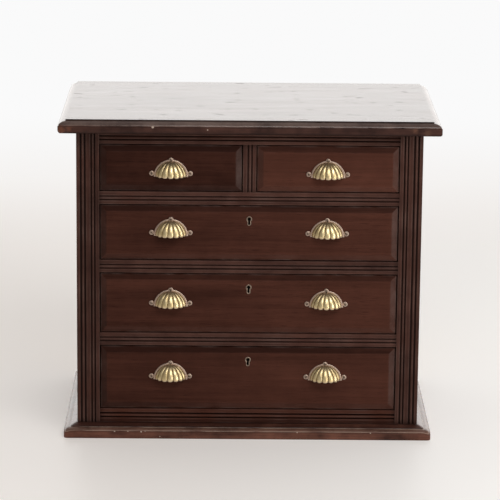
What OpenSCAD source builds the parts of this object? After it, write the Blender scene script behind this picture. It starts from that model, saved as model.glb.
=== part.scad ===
// Miniature chest of drawers: two short drawers over three long ones, in a reeded frame.
// Millimetres. Origin at the middle of the underside, +X right, -Y front, +Z up.

/* [Overall] */
// Width over the top board
width = 481; // [470:1:500]
// Depth over the top board, moulding to back
depth = 286; // [270:1:310]

/* [Top and base boards] */
// How far the top board stands out past the carcass
top_overhang = 22; // [18:0.5:24]
// Thickness of the top board
top_thickness = 17; // [15:0.5:20]
// Width of the rounded moulding round the top board
top_moulding = 9.6; // [7:0.1:11]
// Height of the small upright face between the top board's flat top and its rounded moulding
fillet_height = 1.6; // [1:0.1:2]
// Height of the flat edge of the top board
top_edge_height = 10.2; // [8:0.1:11]
// How far the base board stands out past the carcass
base_overhang = 16.9; // [14:0.1:20]
// Thickness of the base board
base_thickness = 17; // [16:0.5:20]
// Height of the flat edge of the base board
base_edge_height = 9.9; // [9:0.1:11.5]
// Width of the rounded moulding round the base board
base_moulding = 8.2; // [7:0.1:9]
// Fall of the sloping ledge of the base board, from the carcass to its moulding
ledge_fall = 3.2; // [2:0.1:3.5]

/* [Frame] */
// Clear height of the long drawer opening at the bottom
lower_opening = 84.5; // [80:0.5:90]
// Clear height of the long drawer opening in the middle
middle_opening = 79; // [75:0.5:85]
// Clear height of the long drawer opening below the short drawers
upper_opening = 72.5; // [70:0.5:78]
// Clear height of the two short drawer openings
short_opening = 61; // [58:0.5:66]
// Height of the rail under the lowest drawer
bottom_rail_height = 18; // [17:0.5:20]
// Height of the rails between drawers and under the top board
rail_height = 16.5; // [15.5:0.5:18]
// Depth of the rails from front to back
rail_depth = 35; // [30:1:45]
// Width of the upright between the two short drawers
divider_width = 17; // [16:0.5:19]
// Width of the corner uprights
stile_width = 29; // [28:0.5:31]
// Thickness of the corner uprights
stile_thickness = 14; // [12:0.5:16]
// Thickness of the side panels
side_thickness = 12; // [11:0.5:13]
// Thickness of the back panel
back_thickness = 6; // [5:0.5:8]
// Depth of the reeded grooves
groove_depth = 1.6; // [1.2:0.1:2.5]

/* [Drawers] */
// Gap at each end of a drawer front
end_gap = 1; // [0.6:0.1:1.5]
// Gap above a drawer front
top_gap = 1.2; // [0.8:0.1:1.6]
// Gap below a drawer front
bottom_gap = 0.8; // [0.5:0.1:1.2]
// Thickness of a drawer front
front_thickness = 14.5; // [13.5:0.5:17]
// How far the drawer fronts stand out of the frame
front_proud = 0.5; // [0:0.1:1]
// Width of the bevelled border of a drawer front
bevel_width = 7.5; // [6:0.5:9]
// Depth of the bevel at the edge of a drawer front
bevel_depth = 2.8; // [2:0.1:3.5]
// Thickness of the drawer sides and backs
lining = 7; // [6:0.5:8]
// Thickness of the drawer bottoms
bottom_board = 3.5; // [3:0.5:5]
// Length of a drawer from its front to its back
drawer_length = 243; // [225:1:243]

/* [Handles] */
// Distance of each handle from the middle of the chest
handle_offset = 99; // [95:1:103]
// Radius of the domed cup
cup_radius = 20.4; // [20:0.1:21.5]
// How far behind the drawer face the centre of the dome lies
cup_setback = 4; // [3.5:0.1:5]
// Thickness of the cup's metal
cup_wall = 1.2; // [1:0.1:1.4]
// Radius of the screw lugs
lug_radius = 3.3; // [2.9:0.1:3.5]

/* [Locks] */
// Distance from the top of an opening down to its keyhole
keyhole_drop = 18; // [17:0.5:20]
// Radius of the keyhole
keyhole_radius = 2.2; // [1.8:0.1:2.4]
// Travel of a lock bolt
bolt_travel = 5; // [4:0.5:5.5]

/* [Hidden] */
$fn = 64;

mahogany = [0.30, 0.16, 0.12];
pine = [0.62, 0.47, 0.31];
brass = [0.72, 0.58, 0.34];
steel = [0.45, 0.44, 0.42];

front_y = -depth / 2 + top_overhang;
back_y = depth / 2;
half_body = width / 2 - top_overhang;
inner_x = half_body - stile_width;
side_inner_x = half_body - side_thickness;
half_divider = divider_width / 2;
rail_back_y = front_y + rail_depth;
stile_back_y = front_y + stile_thickness;
panel_front_y = back_y - back_thickness;

opening_heights = [lower_opening, middle_opening, upper_opening, short_opening];
LOWER_LEVEL = 0;
MIDDLE_LEVEL = 1;
UPPER_LEVEL = 2;
SHORT_LEVEL = 3;

function sum_first(v, n) = n <= 0 ? 0 : v[n - 1] + sum_first(v, n - 1);
function sill(level) = base_thickness + bottom_rail_height + level * rail_height
    + sum_first(opening_heights, level);
function lintel(level) = sill(level) + opening_heights[level];

top_rail_z = lintel(SHORT_LEVEL);
top_board_z = top_rail_z + rail_height;
height = top_board_z + top_thickness;

// Drawers: [middle x, clear width, level]
short_width = inner_x - half_divider;
short_middle = (inner_x + half_divider) / 2;
LEFT = [-short_middle, short_width, SHORT_LEVEL];
RIGHT = [short_middle, short_width, SHORT_LEVEL];
UPPER = [0, 2 * inner_x, UPPER_LEVEL];
MIDDLE = [0, 2 * inner_x, MIDDLE_LEVEL];
LOWER = [0, 2 * inner_x, LOWER_LEVEL];

handle_rise = [40, 35.6, 32.2, 19.7];
face_y = front_y - front_proud;
drawer_inner_y = face_y + front_thickness;
drawer_back_y = face_y + drawer_length;
bottom_rise = 6;
bottom_groove = 3;
side_clearance = 0.4;
side_top_drop = 1.5;
tail_length = 7.5;
back_setback = 8;
back_housing = 2.5;

// ---- helpers ---------------------------------------------------------------

// A block from its low corner to its high corner
module block(low, high) translate(low) cube(high - low);

// A profile drawn as (y, z), run along x from x0 to x1
module run_x(x0, x1) translate([x0, 0, 0]) rotate([90, 0, 90]) linear_extrude(x1 - x0) children();

// A profile drawn as (x, z), run along y from y0 back to y1
module run_y(y0, y1) translate([0, y1, 0]) rotate([90, 0, 0]) linear_extrude(y1 - y0) children();

// A cylinder along y from y0 back to y1
module rod_y(r, y0, y1, fn = 32) translate([0, y1, 0]) rotate([90, 0, 0]) cylinder(r = r, h = y1 - y0, $fn = fn);

// ---- reeded profiles -------------------------------------------------------

FLAT = 0;
GROOVE = 1;
BEAD = 2;
rail_kinds = [FLAT, GROOVE, BEAD, GROOVE, FLAT];
stile_kinds = [FLAT, GROOVE, BEAD, GROOVE, FLAT, GROOVE, BEAD, GROOVE, FLAT];
rail_parts = [5.3, 2.2, 2.6, 2.3, 4.5];
stile_parts = [3.9, 3.1, 2.2, 3, 5.4, 2.2, 2, 2.5, 4.7];
bottom_rail_parts = [4, 4, 2, 3, 5];
bead_drop = 0.7;

// Points [across, depth] of a reeded face scaled to a total width
function reed_points(kinds, parts, total) =
    let (k = total / sum_first(parts, len(parts)))
    [for (i = [0:len(parts) - 1])
        let (t = k * sum_first(parts, i), w = k * parts[i])
        each kinds[i] == FLAT ? [[t, 0], [t + w, 0]]
           : kinds[i] == GROOVE ? [[t + w / 2, groove_depth]]
           : [for (u = [-1:0.5:1]) [t + w / 2 * (1 + u), bead_drop * u * u]]];

// Section of a horizontal rail as (y, z): reeded face to the front
module rail_section(z0, total, kinds, parts) {
    face = reed_points(kinds, parts, total);
    polygon(concat(
        [for (p = face) [front_y + p[1], z0 + total - p[0]]],
        [[rail_back_y, z0], [rail_back_y, z0 + total]]));
}

// ---- carcass ---------------------------------------------------------------

arc_steps = 8;

edge_step = 0.8;
edge_round = 0.5;
under_round = 1.2;
base_fillet = 1.2;

// Points of a quarter round that rises from [step, low] to [width, high], as [inward, up]
function quarter_round(low, width, high) = [for (i = [0:arc_steps]) let (a = 90 * i / arc_steps)
    [edge_step + (width - edge_step) * (1 - cos(a)), low + (high - low) * sin(a)]];

// Edge of the top board, [inward, up]: eased lower arris, flat edge, quarter round, upright fillet
function top_edge() = concat(
    [[under_round, 0], [under_round / 4, under_round], [0, 2 * under_round], [0, top_edge_height - edge_round]],
    quarter_round(top_edge_height, top_moulding, top_thickness - fillet_height),
    [[top_moulding, top_thickness]]);

// Edge of the base board, [inward, up]: flat edge, low round, upright fillet, ledge sloping up to the carcass
function base_edge() =
    let (ledge = base_thickness - ledge_fall)
    concat([[0, 0], [0, base_edge_height - edge_round]],
        quarter_round(base_edge_height, base_moulding, ledge - base_fillet),
        [[base_moulding, ledge], [base_overhang, base_thickness]]);

// A board with one edge moulding round its front and both ends, mitred at the corners
module moulded_board(half_width, front, z0, edge, thickness) {
    intersection() {
        run_x(-half_width, half_width)
            polygon(concat([for (p = edge) [front + p[0], z0 + p[1]]],
                [[back_y, z0 + thickness], [back_y, z0]]));
        run_y(front, back_y)
            polygon(concat([for (p = edge) [-half_width + p[0], z0 + p[1]]],
                [for (i = [len(edge) - 1:-1:0]) [half_width - edge[i][0], z0 + edge[i][1]]]));
    }
}

module top_board() color(mahogany)
    moulded_board(width / 2, -depth / 2, top_board_z, top_edge(), top_thickness);

module base_board() color(mahogany)
    moulded_board(half_body + base_overhang, front_y - base_overhang, 0, base_edge(), base_thickness);

tenon_length = 5;
tenon_height = 8;
tenon_front = 4;
tenon_back = 11;
back_rebate = 6;
screw_inset = 3;
back_screw_heights = [60, 165, 270, 370];
screw_length = 14;
screw_head = 2.6;
screw_sink = 2.2;
screw_shank = 1.1;
rebate_x = half_body - back_rebate;

// Both columns of screws that hold the back panel
module back_screw_set() {
    for (side = [-1, 1], z = back_screw_heights)
        translate([side * (side_inner_x + screw_inset), back_y, z]) {
            rotate([90, 0, 0]) cylinder(r1 = screw_head, r2 = screw_shank, h = screw_sink, $fn = 32);
            rod_y(screw_shank, -screw_length, 0.1 - screw_sink, 24);
        }
}

module side_panel(side) color(mahogany)
    difference() {
        if (side < 0) block([-half_body, stile_back_y, base_thickness], [-side_inner_x, back_y, top_board_z]);
        else block([side_inner_x, stile_back_y, base_thickness], [half_body, back_y, top_board_z]);
        if (side < 0) block([-rebate_x, panel_front_y, 0], [0, back_y + 1, height]);
        else block([0, panel_front_y, 0], [rebate_x, back_y + 1, height]);
        back_screw_set();
    }

module side_panel_left() side_panel(-1);
module side_panel_right() side_panel(1);

// Height of the middle of the stub tenon of every rail
rail_levels = [
    base_thickness + bottom_rail_height / 2,
    sill(MIDDLE_LEVEL) - rail_height / 2,
    sill(UPPER_LEVEL) - rail_height / 2,
    sill(SHORT_LEVEL) - rail_height / 2,
    top_rail_z + rail_height / 2,
];

// The stub tenons at both ends of a rail centred on height z
module tenons(z) {
    for (side = [-1, 1])
        translate([side * (inner_x + tenon_length / 2), front_y + (tenon_front + tenon_back) / 2, z])
            cube([tenon_length, tenon_back - tenon_front, tenon_height], center = true);
}

module stile() {
    face = reed_points(stile_kinds, stile_parts, stile_width);
    difference() {
        translate([0, 0, base_thickness]) linear_extrude(top_board_z - base_thickness)
            polygon(concat([for (p = face) [-half_body + p[0], front_y + p[1]]],
                [[-inner_x, stile_back_y], [-half_body, stile_back_y]]));
        for (z = rail_levels) tenons(z);
    }
}

module stile_left() color(mahogany) stile();
module stile_right() color(mahogany) mirror([1, 0, 0]) stile();

mortise_width = 8;

// The tenons at the two ends of the centre divider
module divider_tenons() {
    for (z = [sill(SHORT_LEVEL) - tenon_length / 2, top_rail_z + tenon_length / 2])
        translate([0, front_y + (tenon_front + tenon_back) / 2, z])
            cube([mortise_width, tenon_back - tenon_front, tenon_length], center = true);
}

// A rail between the uprights
module rail(z0, total, parts) {
    run_x(-inner_x, inner_x) rail_section(z0, total, rail_kinds, parts);
    tenons(z0 + total / 2);
}

bolt_width = 14;
bolt_thickness = 3.4;
bolt_y = face_y + 11;
strike_room = 1;

// The slot in the underside of a rail that a lock bolt enters
module strike_slot(level) {
    z = lintel(level);
    block([-bolt_width / 2 - strike_room, bolt_y - bolt_thickness / 2 - strike_room, z - 1],
        [bolt_width / 2 + strike_room, bolt_y + bolt_thickness / 2 + strike_room, z + bolt_travel]);
}

module top_rail() color(mahogany) difference() {
    rail(top_rail_z, rail_height, rail_parts);
    divider_tenons();
}

module rail_upper() color(mahogany) difference() {
    rail(sill(SHORT_LEVEL) - rail_height, rail_height, rail_parts);
    divider_tenons();
    strike_slot(UPPER_LEVEL);
}

module rail_middle() color(mahogany) difference() {
    rail(sill(UPPER_LEVEL) - rail_height, rail_height, rail_parts);
    strike_slot(MIDDLE_LEVEL);
}

module rail_lower() color(mahogany) difference() {
    rail(sill(MIDDLE_LEVEL) - rail_height, rail_height, rail_parts);
    strike_slot(LOWER_LEVEL);
}

module bottom_rail() color(mahogany)
    rail(base_thickness, bottom_rail_height, bottom_rail_parts);

module centre_divider() color(mahogany) {
    face = reed_points(rail_kinds, rail_parts, divider_width);
    translate([0, 0, sill(SHORT_LEVEL)]) linear_extrude(short_opening)
        polygon(concat([for (p = face) [-half_divider + p[0], front_y + p[1]]],
            [[half_divider, rail_back_y], [-half_divider, rail_back_y]]));
    divider_tenons();
}

module back_panel() color(pine) difference() {
    block([-rebate_x, panel_front_y, base_thickness], [rebate_x, back_y, top_board_z]);
    back_screw_set();
}

slot_width = 0.7;
slot_depth = 0.8;

module back_screws() color(steel) difference() {
    back_screw_set();
    for (side = [-1, 1], z = back_screw_heights)
        translate([side * (side_inner_x + screw_inset), back_y, z])
            cube([2 * screw_head + 1, 2 * slot_depth, slot_width], center = true);
}

runner_width = 30;
centre_runner_width = 50;
guide_height = 20;
kicker_height = 10;

// Every runner's top height and thickness
runner_tops = [for (level = [LOWER_LEVEL:SHORT_LEVEL]) sill(level)];
runner_thickness = [bottom_rail_height, rail_height, rail_height, rail_height];

module drawer_runners() color(pine) {
    for (i = [LOWER_LEVEL:SHORT_LEVEL], side = [-1, 1])
        translate([side * (side_inner_x - runner_width / 2), (rail_back_y + panel_front_y) / 2,
            runner_tops[i] - runner_thickness[i] / 2])
            cube([runner_width, panel_front_y - rail_back_y, runner_thickness[i]], center = true);
    block([-centre_runner_width / 2, rail_back_y, runner_tops[SHORT_LEVEL] - rail_height],
        [centre_runner_width / 2, panel_front_y, runner_tops[SHORT_LEVEL]]);
}

module drawer_guides() color(pine) {
    for (i = [LOWER_LEVEL:SHORT_LEVEL], side = [-1, 1])
        translate([side * (inner_x + side_inner_x) / 2, (rail_back_y + panel_front_y) / 2,
            runner_tops[i] + guide_height / 2])
            cube([side_inner_x - inner_x, panel_front_y - rail_back_y, guide_height], center = true);
    block([-half_divider, rail_back_y, runner_tops[SHORT_LEVEL]],
        [half_divider, panel_front_y, runner_tops[SHORT_LEVEL] + guide_height]);
}

module kickers() color(pine) {
    for (side = [-1, 1])
        translate([side * (side_inner_x - runner_width / 2), (rail_back_y + panel_front_y) / 2,
            top_rail_z + rail_height / 2])
            cube([runner_width, panel_front_y - rail_back_y, rail_height], center = true);
    block([-centre_runner_width / 2, rail_back_y, top_rail_z],
        [centre_runner_width / 2, panel_front_y, top_board_z]);
}

stop_length = 22;
stop_depth = 14;
stop_height = 4;
stop_gap = 0.5;
stop_spread = 0.28;

// Two blocks on the rail below each drawer, which its front meets when it is shut
module drawer_stops() color(pine)
    for (d = [LOWER, MIDDLE, UPPER, LEFT, RIGHT], side = [-1, 1])
        translate([d[0] + side * d[1] * stop_spread, drawer_inner_y + stop_gap + stop_depth / 2,
            sill(d[2]) + stop_height / 2])
            cube([stop_length, stop_depth, stop_height], center = true);

// ---- drawers ---------------------------------------------------------------

function half_front(d) = d[1] / 2 - end_gap;
function front_low(d) = sill(d[2]) + bottom_gap;
function front_high(d) = lintel(d[2]) - top_gap;
function side_low(d) = sill(d[2]) + side_clearance;
function side_high(d) = front_high(d) - side_top_drop;
function keyhole_z(d) = lintel(d[2]) - keyhole_drop;
function bottom_z(d) = front_low(d) + bottom_rise;

tail_wide = 0.72;
tail_narrow = 0.54;
tail_pitch = 27;

// The dovetails of a drawer side as (y, z), reaching into the drawer front
module tails(d) {
    rise = side_high(d) - side_low(d);
    count = round(rise / tail_pitch);
    pitch = rise / count;
    for (i = [0:count - 1]) {
        z = side_low(d) + (i + 0.5) * pitch;
        polygon([[drawer_inner_y, z - pitch * tail_narrow / 2],
            [drawer_inner_y - tail_length, z - pitch * tail_wide / 2],
            [drawer_inner_y - tail_length, z + pitch * tail_wide / 2],
            [drawer_inner_y, z + pitch * tail_narrow / 2]]);
    }
}

// Points of an arc from angle a0 to angle a1 about (0, z)
function arc(r, z, a0, a1, steps) = [for (i = [0:steps]) let (a = a0 + (a1 - a0) * i / steps)
    [r * cos(a), z + r * sin(a)]];

slot_top_half = 0.8;
slot_foot_half = 1.2;
slot_foot = -6.2;

// Keyhole outline about its round, as (x, z)
module keyhole_shape() {
    a = asin(slot_top_half / keyhole_radius);
    polygon(concat(arc(keyhole_radius, 0, a - 90, 270 - a, 20),
        [[-slot_foot_half, slot_foot], [slot_foot_half, slot_foot]]));
}

escutcheon_top = 4.3;
escutcheon_bottom = 2.9;
escutcheon_drop = 6.6;
escutcheon_depth = 3;

// Outline of the brass keyhole plate as (x, z): round head, drawn in to a narrower round foot
module escutcheon_shape()
    polygon(concat(arc(escutcheon_top, 0, -30, 210, 24),
        arc(escutcheon_bottom, -escutcheon_drop, 180, 360, 16)));

lock_half_width = 17;
lock_height = 30;
lock_depth = 7;
lock_plate_side = 3;
lock_plate = 1.2;
bolt_height = 13.5;
bolt_slack = 0.3;

// The body of a lock, let into the back of a drawer front
module lock_body(d)
    block([-lock_half_width, drawer_inner_y - lock_depth, front_high(d) - lock_height],
        [lock_half_width, drawer_inner_y, front_high(d)]);

// Where each handle screw sits, [x, z] from the middle of a handle's lower edge
lug_x = 24.2;
lug_z = 4.25;
top_lug_z = 21.3;
top_screw_z = 21.6;
lug_thickness = 1.6;
lug_points = [[-lug_x, lug_z], [lug_x, lug_z], [0, top_screw_z]];
pin_shank = 0.9;
pin_hole = 1;
pin_head = 1.7;
pin_head_rise = 0.9;
pin_slot_width = 0.45;
pin_slot_depth = 0.4;
pin_length = 7;

// Puts its children at each handle of a drawer, at the drawer's face
module at_handles(d) {
    offsets = d[2] == SHORT_LEVEL ? [0] : [-handle_offset, handle_offset];
    for (x = offsets)
        translate([d[0] + x, face_y, sill(d[2]) + handle_rise[d[2]]]) children();
}

module drawer_front(d) color(mahogany) {
    x = half_front(d);
    difference() {
        translate([d[0], 0, 0]) intersection() {
            run_x(-x, x) polygon([
                [drawer_inner_y, front_low(d)], [face_y + bevel_depth, front_low(d)],
                [face_y, front_low(d) + bevel_width], [face_y, front_high(d) - bevel_width],
                [face_y + bevel_depth, front_high(d)], [drawer_inner_y, front_high(d)]]);
            translate([0, 0, front_low(d)]) linear_extrude(front_high(d) - front_low(d)) polygon([
                [-x, drawer_inner_y], [-x, face_y + bevel_depth], [-x + bevel_width, face_y],
                [x - bevel_width, face_y], [x, face_y + bevel_depth], [x, drawer_inner_y]]);
        }
        for (end = [[d[0] - x - 1, d[0] - x + lining], [d[0] + x - lining, d[0] + x + 1]])
            run_x(end[0], end[1]) tails(d);
        block([d[0] - x + lining - bottom_groove, drawer_inner_y - bottom_groove, bottom_z(d)],
            [d[0] + x - lining + bottom_groove, drawer_inner_y + 1, bottom_z(d) + bottom_board]);
        at_handles(d) for (p = lug_points) translate([p[0], 0, p[1]])
            rod_y(pin_shank, -1, pin_length - lug_thickness, 24);
        if (d[2] != SHORT_LEVEL) {
            lock_body(d);
            translate([0, 0, keyhole_z(d)]) {
                run_y(face_y - 1, face_y + escutcheon_depth) escutcheon_shape();
                run_y(face_y, drawer_inner_y) keyhole_shape();
            }
        }
    }
}

module drawer_sides(d) color(pine) {
    x = half_front(d);
    inner = x - lining;
    for (end = [[d[0] - x, d[0] - inner], [d[0] + inner, d[0] + x]]) difference() {
        run_x(end[0], end[1]) {
            polygon([[drawer_inner_y, side_low(d)], [drawer_back_y, side_low(d)],
                [drawer_back_y, side_high(d)], [drawer_inner_y, side_high(d)]]);
            tails(d);
        }
        block([d[0] - inner - bottom_groove, drawer_inner_y - bottom_groove, bottom_z(d)],
            [d[0] + inner + bottom_groove, drawer_back_y + 1, bottom_z(d) + bottom_board]);
        block([d[0] - inner - back_housing, drawer_back_y - back_setback - lining, bottom_z(d) + bottom_board],
            [d[0] + inner + back_housing, drawer_back_y - back_setback, side_high(d) + 1]);
    }
}

back_top_drop = 3;

module drawer_back(d) color(pine) {
    reach = half_front(d) - lining + back_housing;
    block([d[0] - reach, drawer_back_y - back_setback - lining, bottom_z(d) + bottom_board],
        [d[0] + reach, drawer_back_y - back_setback, side_high(d) - back_top_drop]);
}

module drawer_bottom(d) color(pine) {
    reach = half_front(d) - lining + bottom_groove;
    block([d[0] - reach, drawer_inner_y - bottom_groove, bottom_z(d)],
        [d[0] + reach, drawer_back_y - back_setback + 2, bottom_z(d) + bottom_board]);
}

flutes = 7;
flute_groove = 1.2;
flute_depth = 0.5;
flute_top = 18.5;
flange = 0.8;
flange_thickness = 1.2;

// One cup pull about the middle of its lower edge, standing out to -y
module cup() {
    reach = cup_radius + 5;
    face_radius = sqrt(cup_radius * cup_radius - cup_setback * cup_setback);
    pitch = 180 / flutes;
    difference() {
        union() {
            intersection() {
                translate([0, cup_setback, 0]) sphere(r = cup_radius);
                block([-reach, -reach, 0], [reach, 0, reach]);
            }
            intersection() {
                rod_y(face_radius + flange, -flange_thickness, 0, 64);
                block([-reach, -reach, 0], [reach, 0, reach]);
            }
            for (side = [-1, 1]) {
                translate([side * lug_x, 0, lug_z]) rod_y(lug_radius, -lug_thickness, 0);
                translate([side * (face_radius + lug_x) / 2, -lug_thickness / 2, lug_z])
                    cube([lug_x - face_radius + 1, lug_thickness, lug_radius * 1.4], center = true);
            }
            translate([0, 0, top_lug_z]) rod_y(lug_radius, -lug_thickness, 0);
        }
        translate([0, cup_setback, 0]) sphere(r = cup_radius - cup_wall);
        for (i = [1:flutes - 1]) difference() {
            translate([0, cup_setback, 0]) rotate([0, 0, -i * pitch])
                block([0, -flute_groove / 2, -1], [reach, flute_groove / 2, flute_top]);
            translate([0, cup_setback, 0]) sphere(r = cup_radius - flute_depth);
        }
        for (p = lug_points) translate([p[0], 0, p[1]]) rod_y(pin_hole, -reach, 1, 24);
    }
}

// The cup pull of drawer d that sits at offset x from the drawer's middle
module handle(d, x) color(brass)
    translate([d[0] + x, face_y, sill(d[2]) + handle_rise[d[2]]]) cup();

module handle_screws(d) color(brass)
    at_handles(d) for (p = lug_points) translate([p[0], 0, p[1]]) difference() {
        union() {
            rod_y(pin_shank, -lug_thickness - 0.1, pin_length - lug_thickness, 24);
            intersection() {
                translate([0, pin_head_rise - lug_thickness, 0])
                    sphere(r = sqrt(pin_head * pin_head + pin_head_rise * pin_head_rise));
                rod_y(pin_head, -lug_thickness - 2, -lug_thickness, 24);
            }
        }
        translate([0, -lug_thickness - 1, 0])
            cube([2 * pin_head + 1, 2 * pin_slot_depth, pin_slot_width], center = true);
    }

module escutcheon(d) color(brass)
    translate([0, 0, keyhole_z(d)]) difference() {
        run_y(face_y, face_y + escutcheon_depth) escutcheon_shape();
        run_y(face_y - 1, face_y + escutcheon_depth + 1) keyhole_shape();
    }

module lock_case(d) color(steel) difference() {
    union() {
        lock_body(d);
        block([-lock_half_width - lock_plate_side, drawer_inner_y, front_high(d) - lock_height - lock_plate_side],
            [lock_half_width + lock_plate_side, drawer_inner_y + lock_plate, front_high(d)]);
    }
    block([-bolt_width / 2 - bolt_slack, bolt_y - bolt_thickness / 2 - bolt_slack,
            front_high(d) - bolt_height - 2 * bolt_slack - 0.4],
        [bolt_width / 2 + bolt_slack, bolt_y + bolt_thickness / 2 + bolt_slack, front_high(d) + 1]);
    translate([0, 0, keyhole_z(d)])
        run_y(drawer_inner_y - lock_depth - 1, drawer_inner_y - lock_depth / 2) keyhole_shape();
}

module lock_bolt(d) color(steel)
    block([-bolt_width / 2, bolt_y - bolt_thickness / 2, front_high(d) - 0.4 - bolt_height],
        [bolt_width / 2, bolt_y + bolt_thickness / 2, front_high(d) - 0.4]);

module drawer_left_front() drawer_front(LEFT);
module drawer_left_sides() drawer_sides(LEFT);
module drawer_left_back() drawer_back(LEFT);
module drawer_left_bottom() drawer_bottom(LEFT);
module drawer_left_handle() handle(LEFT, 0);
module drawer_left_handle_screws() handle_screws(LEFT);
module drawer_right_front() drawer_front(RIGHT);
module drawer_right_sides() drawer_sides(RIGHT);
module drawer_right_back() drawer_back(RIGHT);
module drawer_right_bottom() drawer_bottom(RIGHT);
module drawer_right_handle() handle(RIGHT, 0);
module drawer_right_handle_screws() handle_screws(RIGHT);
module drawer_upper_front() drawer_front(UPPER);
module drawer_upper_sides() drawer_sides(UPPER);
module drawer_upper_back() drawer_back(UPPER);
module drawer_upper_bottom() drawer_bottom(UPPER);
module drawer_upper_handle_left() handle(UPPER, -handle_offset);
module drawer_upper_handle_right() handle(UPPER, handle_offset);
module drawer_upper_handle_screws() handle_screws(UPPER);
module drawer_upper_escutcheon() escutcheon(UPPER);
module drawer_upper_lock_case() lock_case(UPPER);
module drawer_upper_lock_bolt() lock_bolt(UPPER);
module drawer_middle_front() drawer_front(MIDDLE);
module drawer_middle_sides() drawer_sides(MIDDLE);
module drawer_middle_back() drawer_back(MIDDLE);
module drawer_middle_bottom() drawer_bottom(MIDDLE);
module drawer_middle_handle_left() handle(MIDDLE, -handle_offset);
module drawer_middle_handle_right() handle(MIDDLE, handle_offset);
module drawer_middle_handle_screws() handle_screws(MIDDLE);
module drawer_middle_escutcheon() escutcheon(MIDDLE);
module drawer_middle_lock_case() lock_case(MIDDLE);
module drawer_middle_lock_bolt() lock_bolt(MIDDLE);
module drawer_lower_front() drawer_front(LOWER);
module drawer_lower_sides() drawer_sides(LOWER);
module drawer_lower_back() drawer_back(LOWER);
module drawer_lower_bottom() drawer_bottom(LOWER);
module drawer_lower_handle_left() handle(LOWER, -handle_offset);
module drawer_lower_handle_right() handle(LOWER, handle_offset);
module drawer_lower_handle_screws() handle_screws(LOWER);
module drawer_lower_escutcheon() escutcheon(LOWER);
module drawer_lower_lock_case() lock_case(LOWER);
module drawer_lower_lock_bolt() lock_bolt(LOWER);

top_board();
base_board();
side_panel_left();
side_panel_right();
stile_left();
stile_right();
top_rail();
rail_upper();
rail_middle();
rail_lower();
bottom_rail();
centre_divider();
back_panel();
back_screws();
drawer_runners();
drawer_guides();
kickers();
drawer_stops();
drawer_left_front();
drawer_left_sides();
drawer_left_back();
drawer_left_bottom();
drawer_left_handle();
drawer_left_handle_screws();
drawer_right_front();
drawer_right_sides();
drawer_right_back();
drawer_right_bottom();
drawer_right_handle();
drawer_right_handle_screws();
drawer_upper_front();
drawer_upper_sides();
drawer_upper_back();
drawer_upper_bottom();
drawer_upper_handle_left();
drawer_upper_handle_right();
drawer_upper_handle_screws();
drawer_upper_escutcheon();
drawer_upper_lock_case();
drawer_upper_lock_bolt();
drawer_middle_front();
drawer_middle_sides();
drawer_middle_back();
drawer_middle_bottom();
drawer_middle_handle_left();
drawer_middle_handle_right();
drawer_middle_handle_screws();
drawer_middle_escutcheon();
drawer_middle_lock_case();
drawer_middle_lock_bolt();
drawer_lower_front();
drawer_lower_sides();
drawer_lower_back();
drawer_lower_bottom();
drawer_lower_handle_left();
drawer_lower_handle_right();
drawer_lower_handle_screws();
drawer_lower_escutcheon();
drawer_lower_lock_case();
drawer_lower_lock_bolt();
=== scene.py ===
"""Looks of the miniature chest of drawers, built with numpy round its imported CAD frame.

Lengths inside the builders are millimetres in the row frame (+X right, -Y front, +Z up).
Meshes are in metres.
"""

import logging
import math
from dataclasses import dataclass, field
from enum import Enum
from typing import Iterable, Sequence

import bmesh
import bpy
import numpy as np
from mathutils import Matrix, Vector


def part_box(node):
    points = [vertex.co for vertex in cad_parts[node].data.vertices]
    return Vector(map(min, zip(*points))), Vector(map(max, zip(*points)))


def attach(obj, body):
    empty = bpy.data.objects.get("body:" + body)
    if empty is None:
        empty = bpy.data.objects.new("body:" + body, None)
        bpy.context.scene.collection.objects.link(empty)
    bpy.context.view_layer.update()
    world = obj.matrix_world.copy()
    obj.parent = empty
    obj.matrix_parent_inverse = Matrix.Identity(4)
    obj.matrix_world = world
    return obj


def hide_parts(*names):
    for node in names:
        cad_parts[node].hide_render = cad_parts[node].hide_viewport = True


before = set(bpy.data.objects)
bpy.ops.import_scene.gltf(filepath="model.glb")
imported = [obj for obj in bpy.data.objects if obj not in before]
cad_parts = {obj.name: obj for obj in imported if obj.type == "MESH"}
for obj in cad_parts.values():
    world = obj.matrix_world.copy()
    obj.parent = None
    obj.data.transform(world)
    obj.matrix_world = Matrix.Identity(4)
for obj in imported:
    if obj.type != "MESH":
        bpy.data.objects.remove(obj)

LOG = logging.getLogger("chest")
MM = 0.001
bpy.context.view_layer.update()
Colour = tuple[float, float, float]

# Reach of the blur that a section's relief is measured against, in millimetres.
RELIEF_REACH = 1.1
# How far a lock bolt rises, and the play round it, in millimetres.
BOLT_TRAVEL = 5.0
BOLT_SLACK = 0.3


class Grain(Enum):
    """The direction the grain of a board runs in."""

    ALONG_X = (1.0, 0.0, 0.0)
    ALONG_Y = (0.0, 1.0, 0.0)
    ALONG_Z = (0.0, 0.0, 1.0)


# ---- surfaces ---------------------------------------------------------------


def grid_quads(rows: int, cols: int, wrap_rows: bool = False, wrap_cols: bool = False) -> np.ndarray:
    """Quads of a rows x cols grid whose points are numbered row by row.

    Args:
        rows: number of rows.
        cols: number of columns.
        wrap_rows: whether the last row meets the first.
        wrap_cols: whether the last column meets the first.

    Returns:
        Array of shape (n, 4) of point numbers.
    """
    r = np.arange(rows if wrap_rows else rows - 1)[:, None]
    c = np.arange(cols if wrap_cols else cols - 1)[None, :]
    r1, c1 = (r + 1) % rows, (c + 1) % cols
    corners = (r * cols + c, r * cols + c1, r1 * cols + c1, r1 * cols + c)
    return np.stack(np.broadcast_arrays(*corners), axis=-1).reshape(-1, 4)


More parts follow.
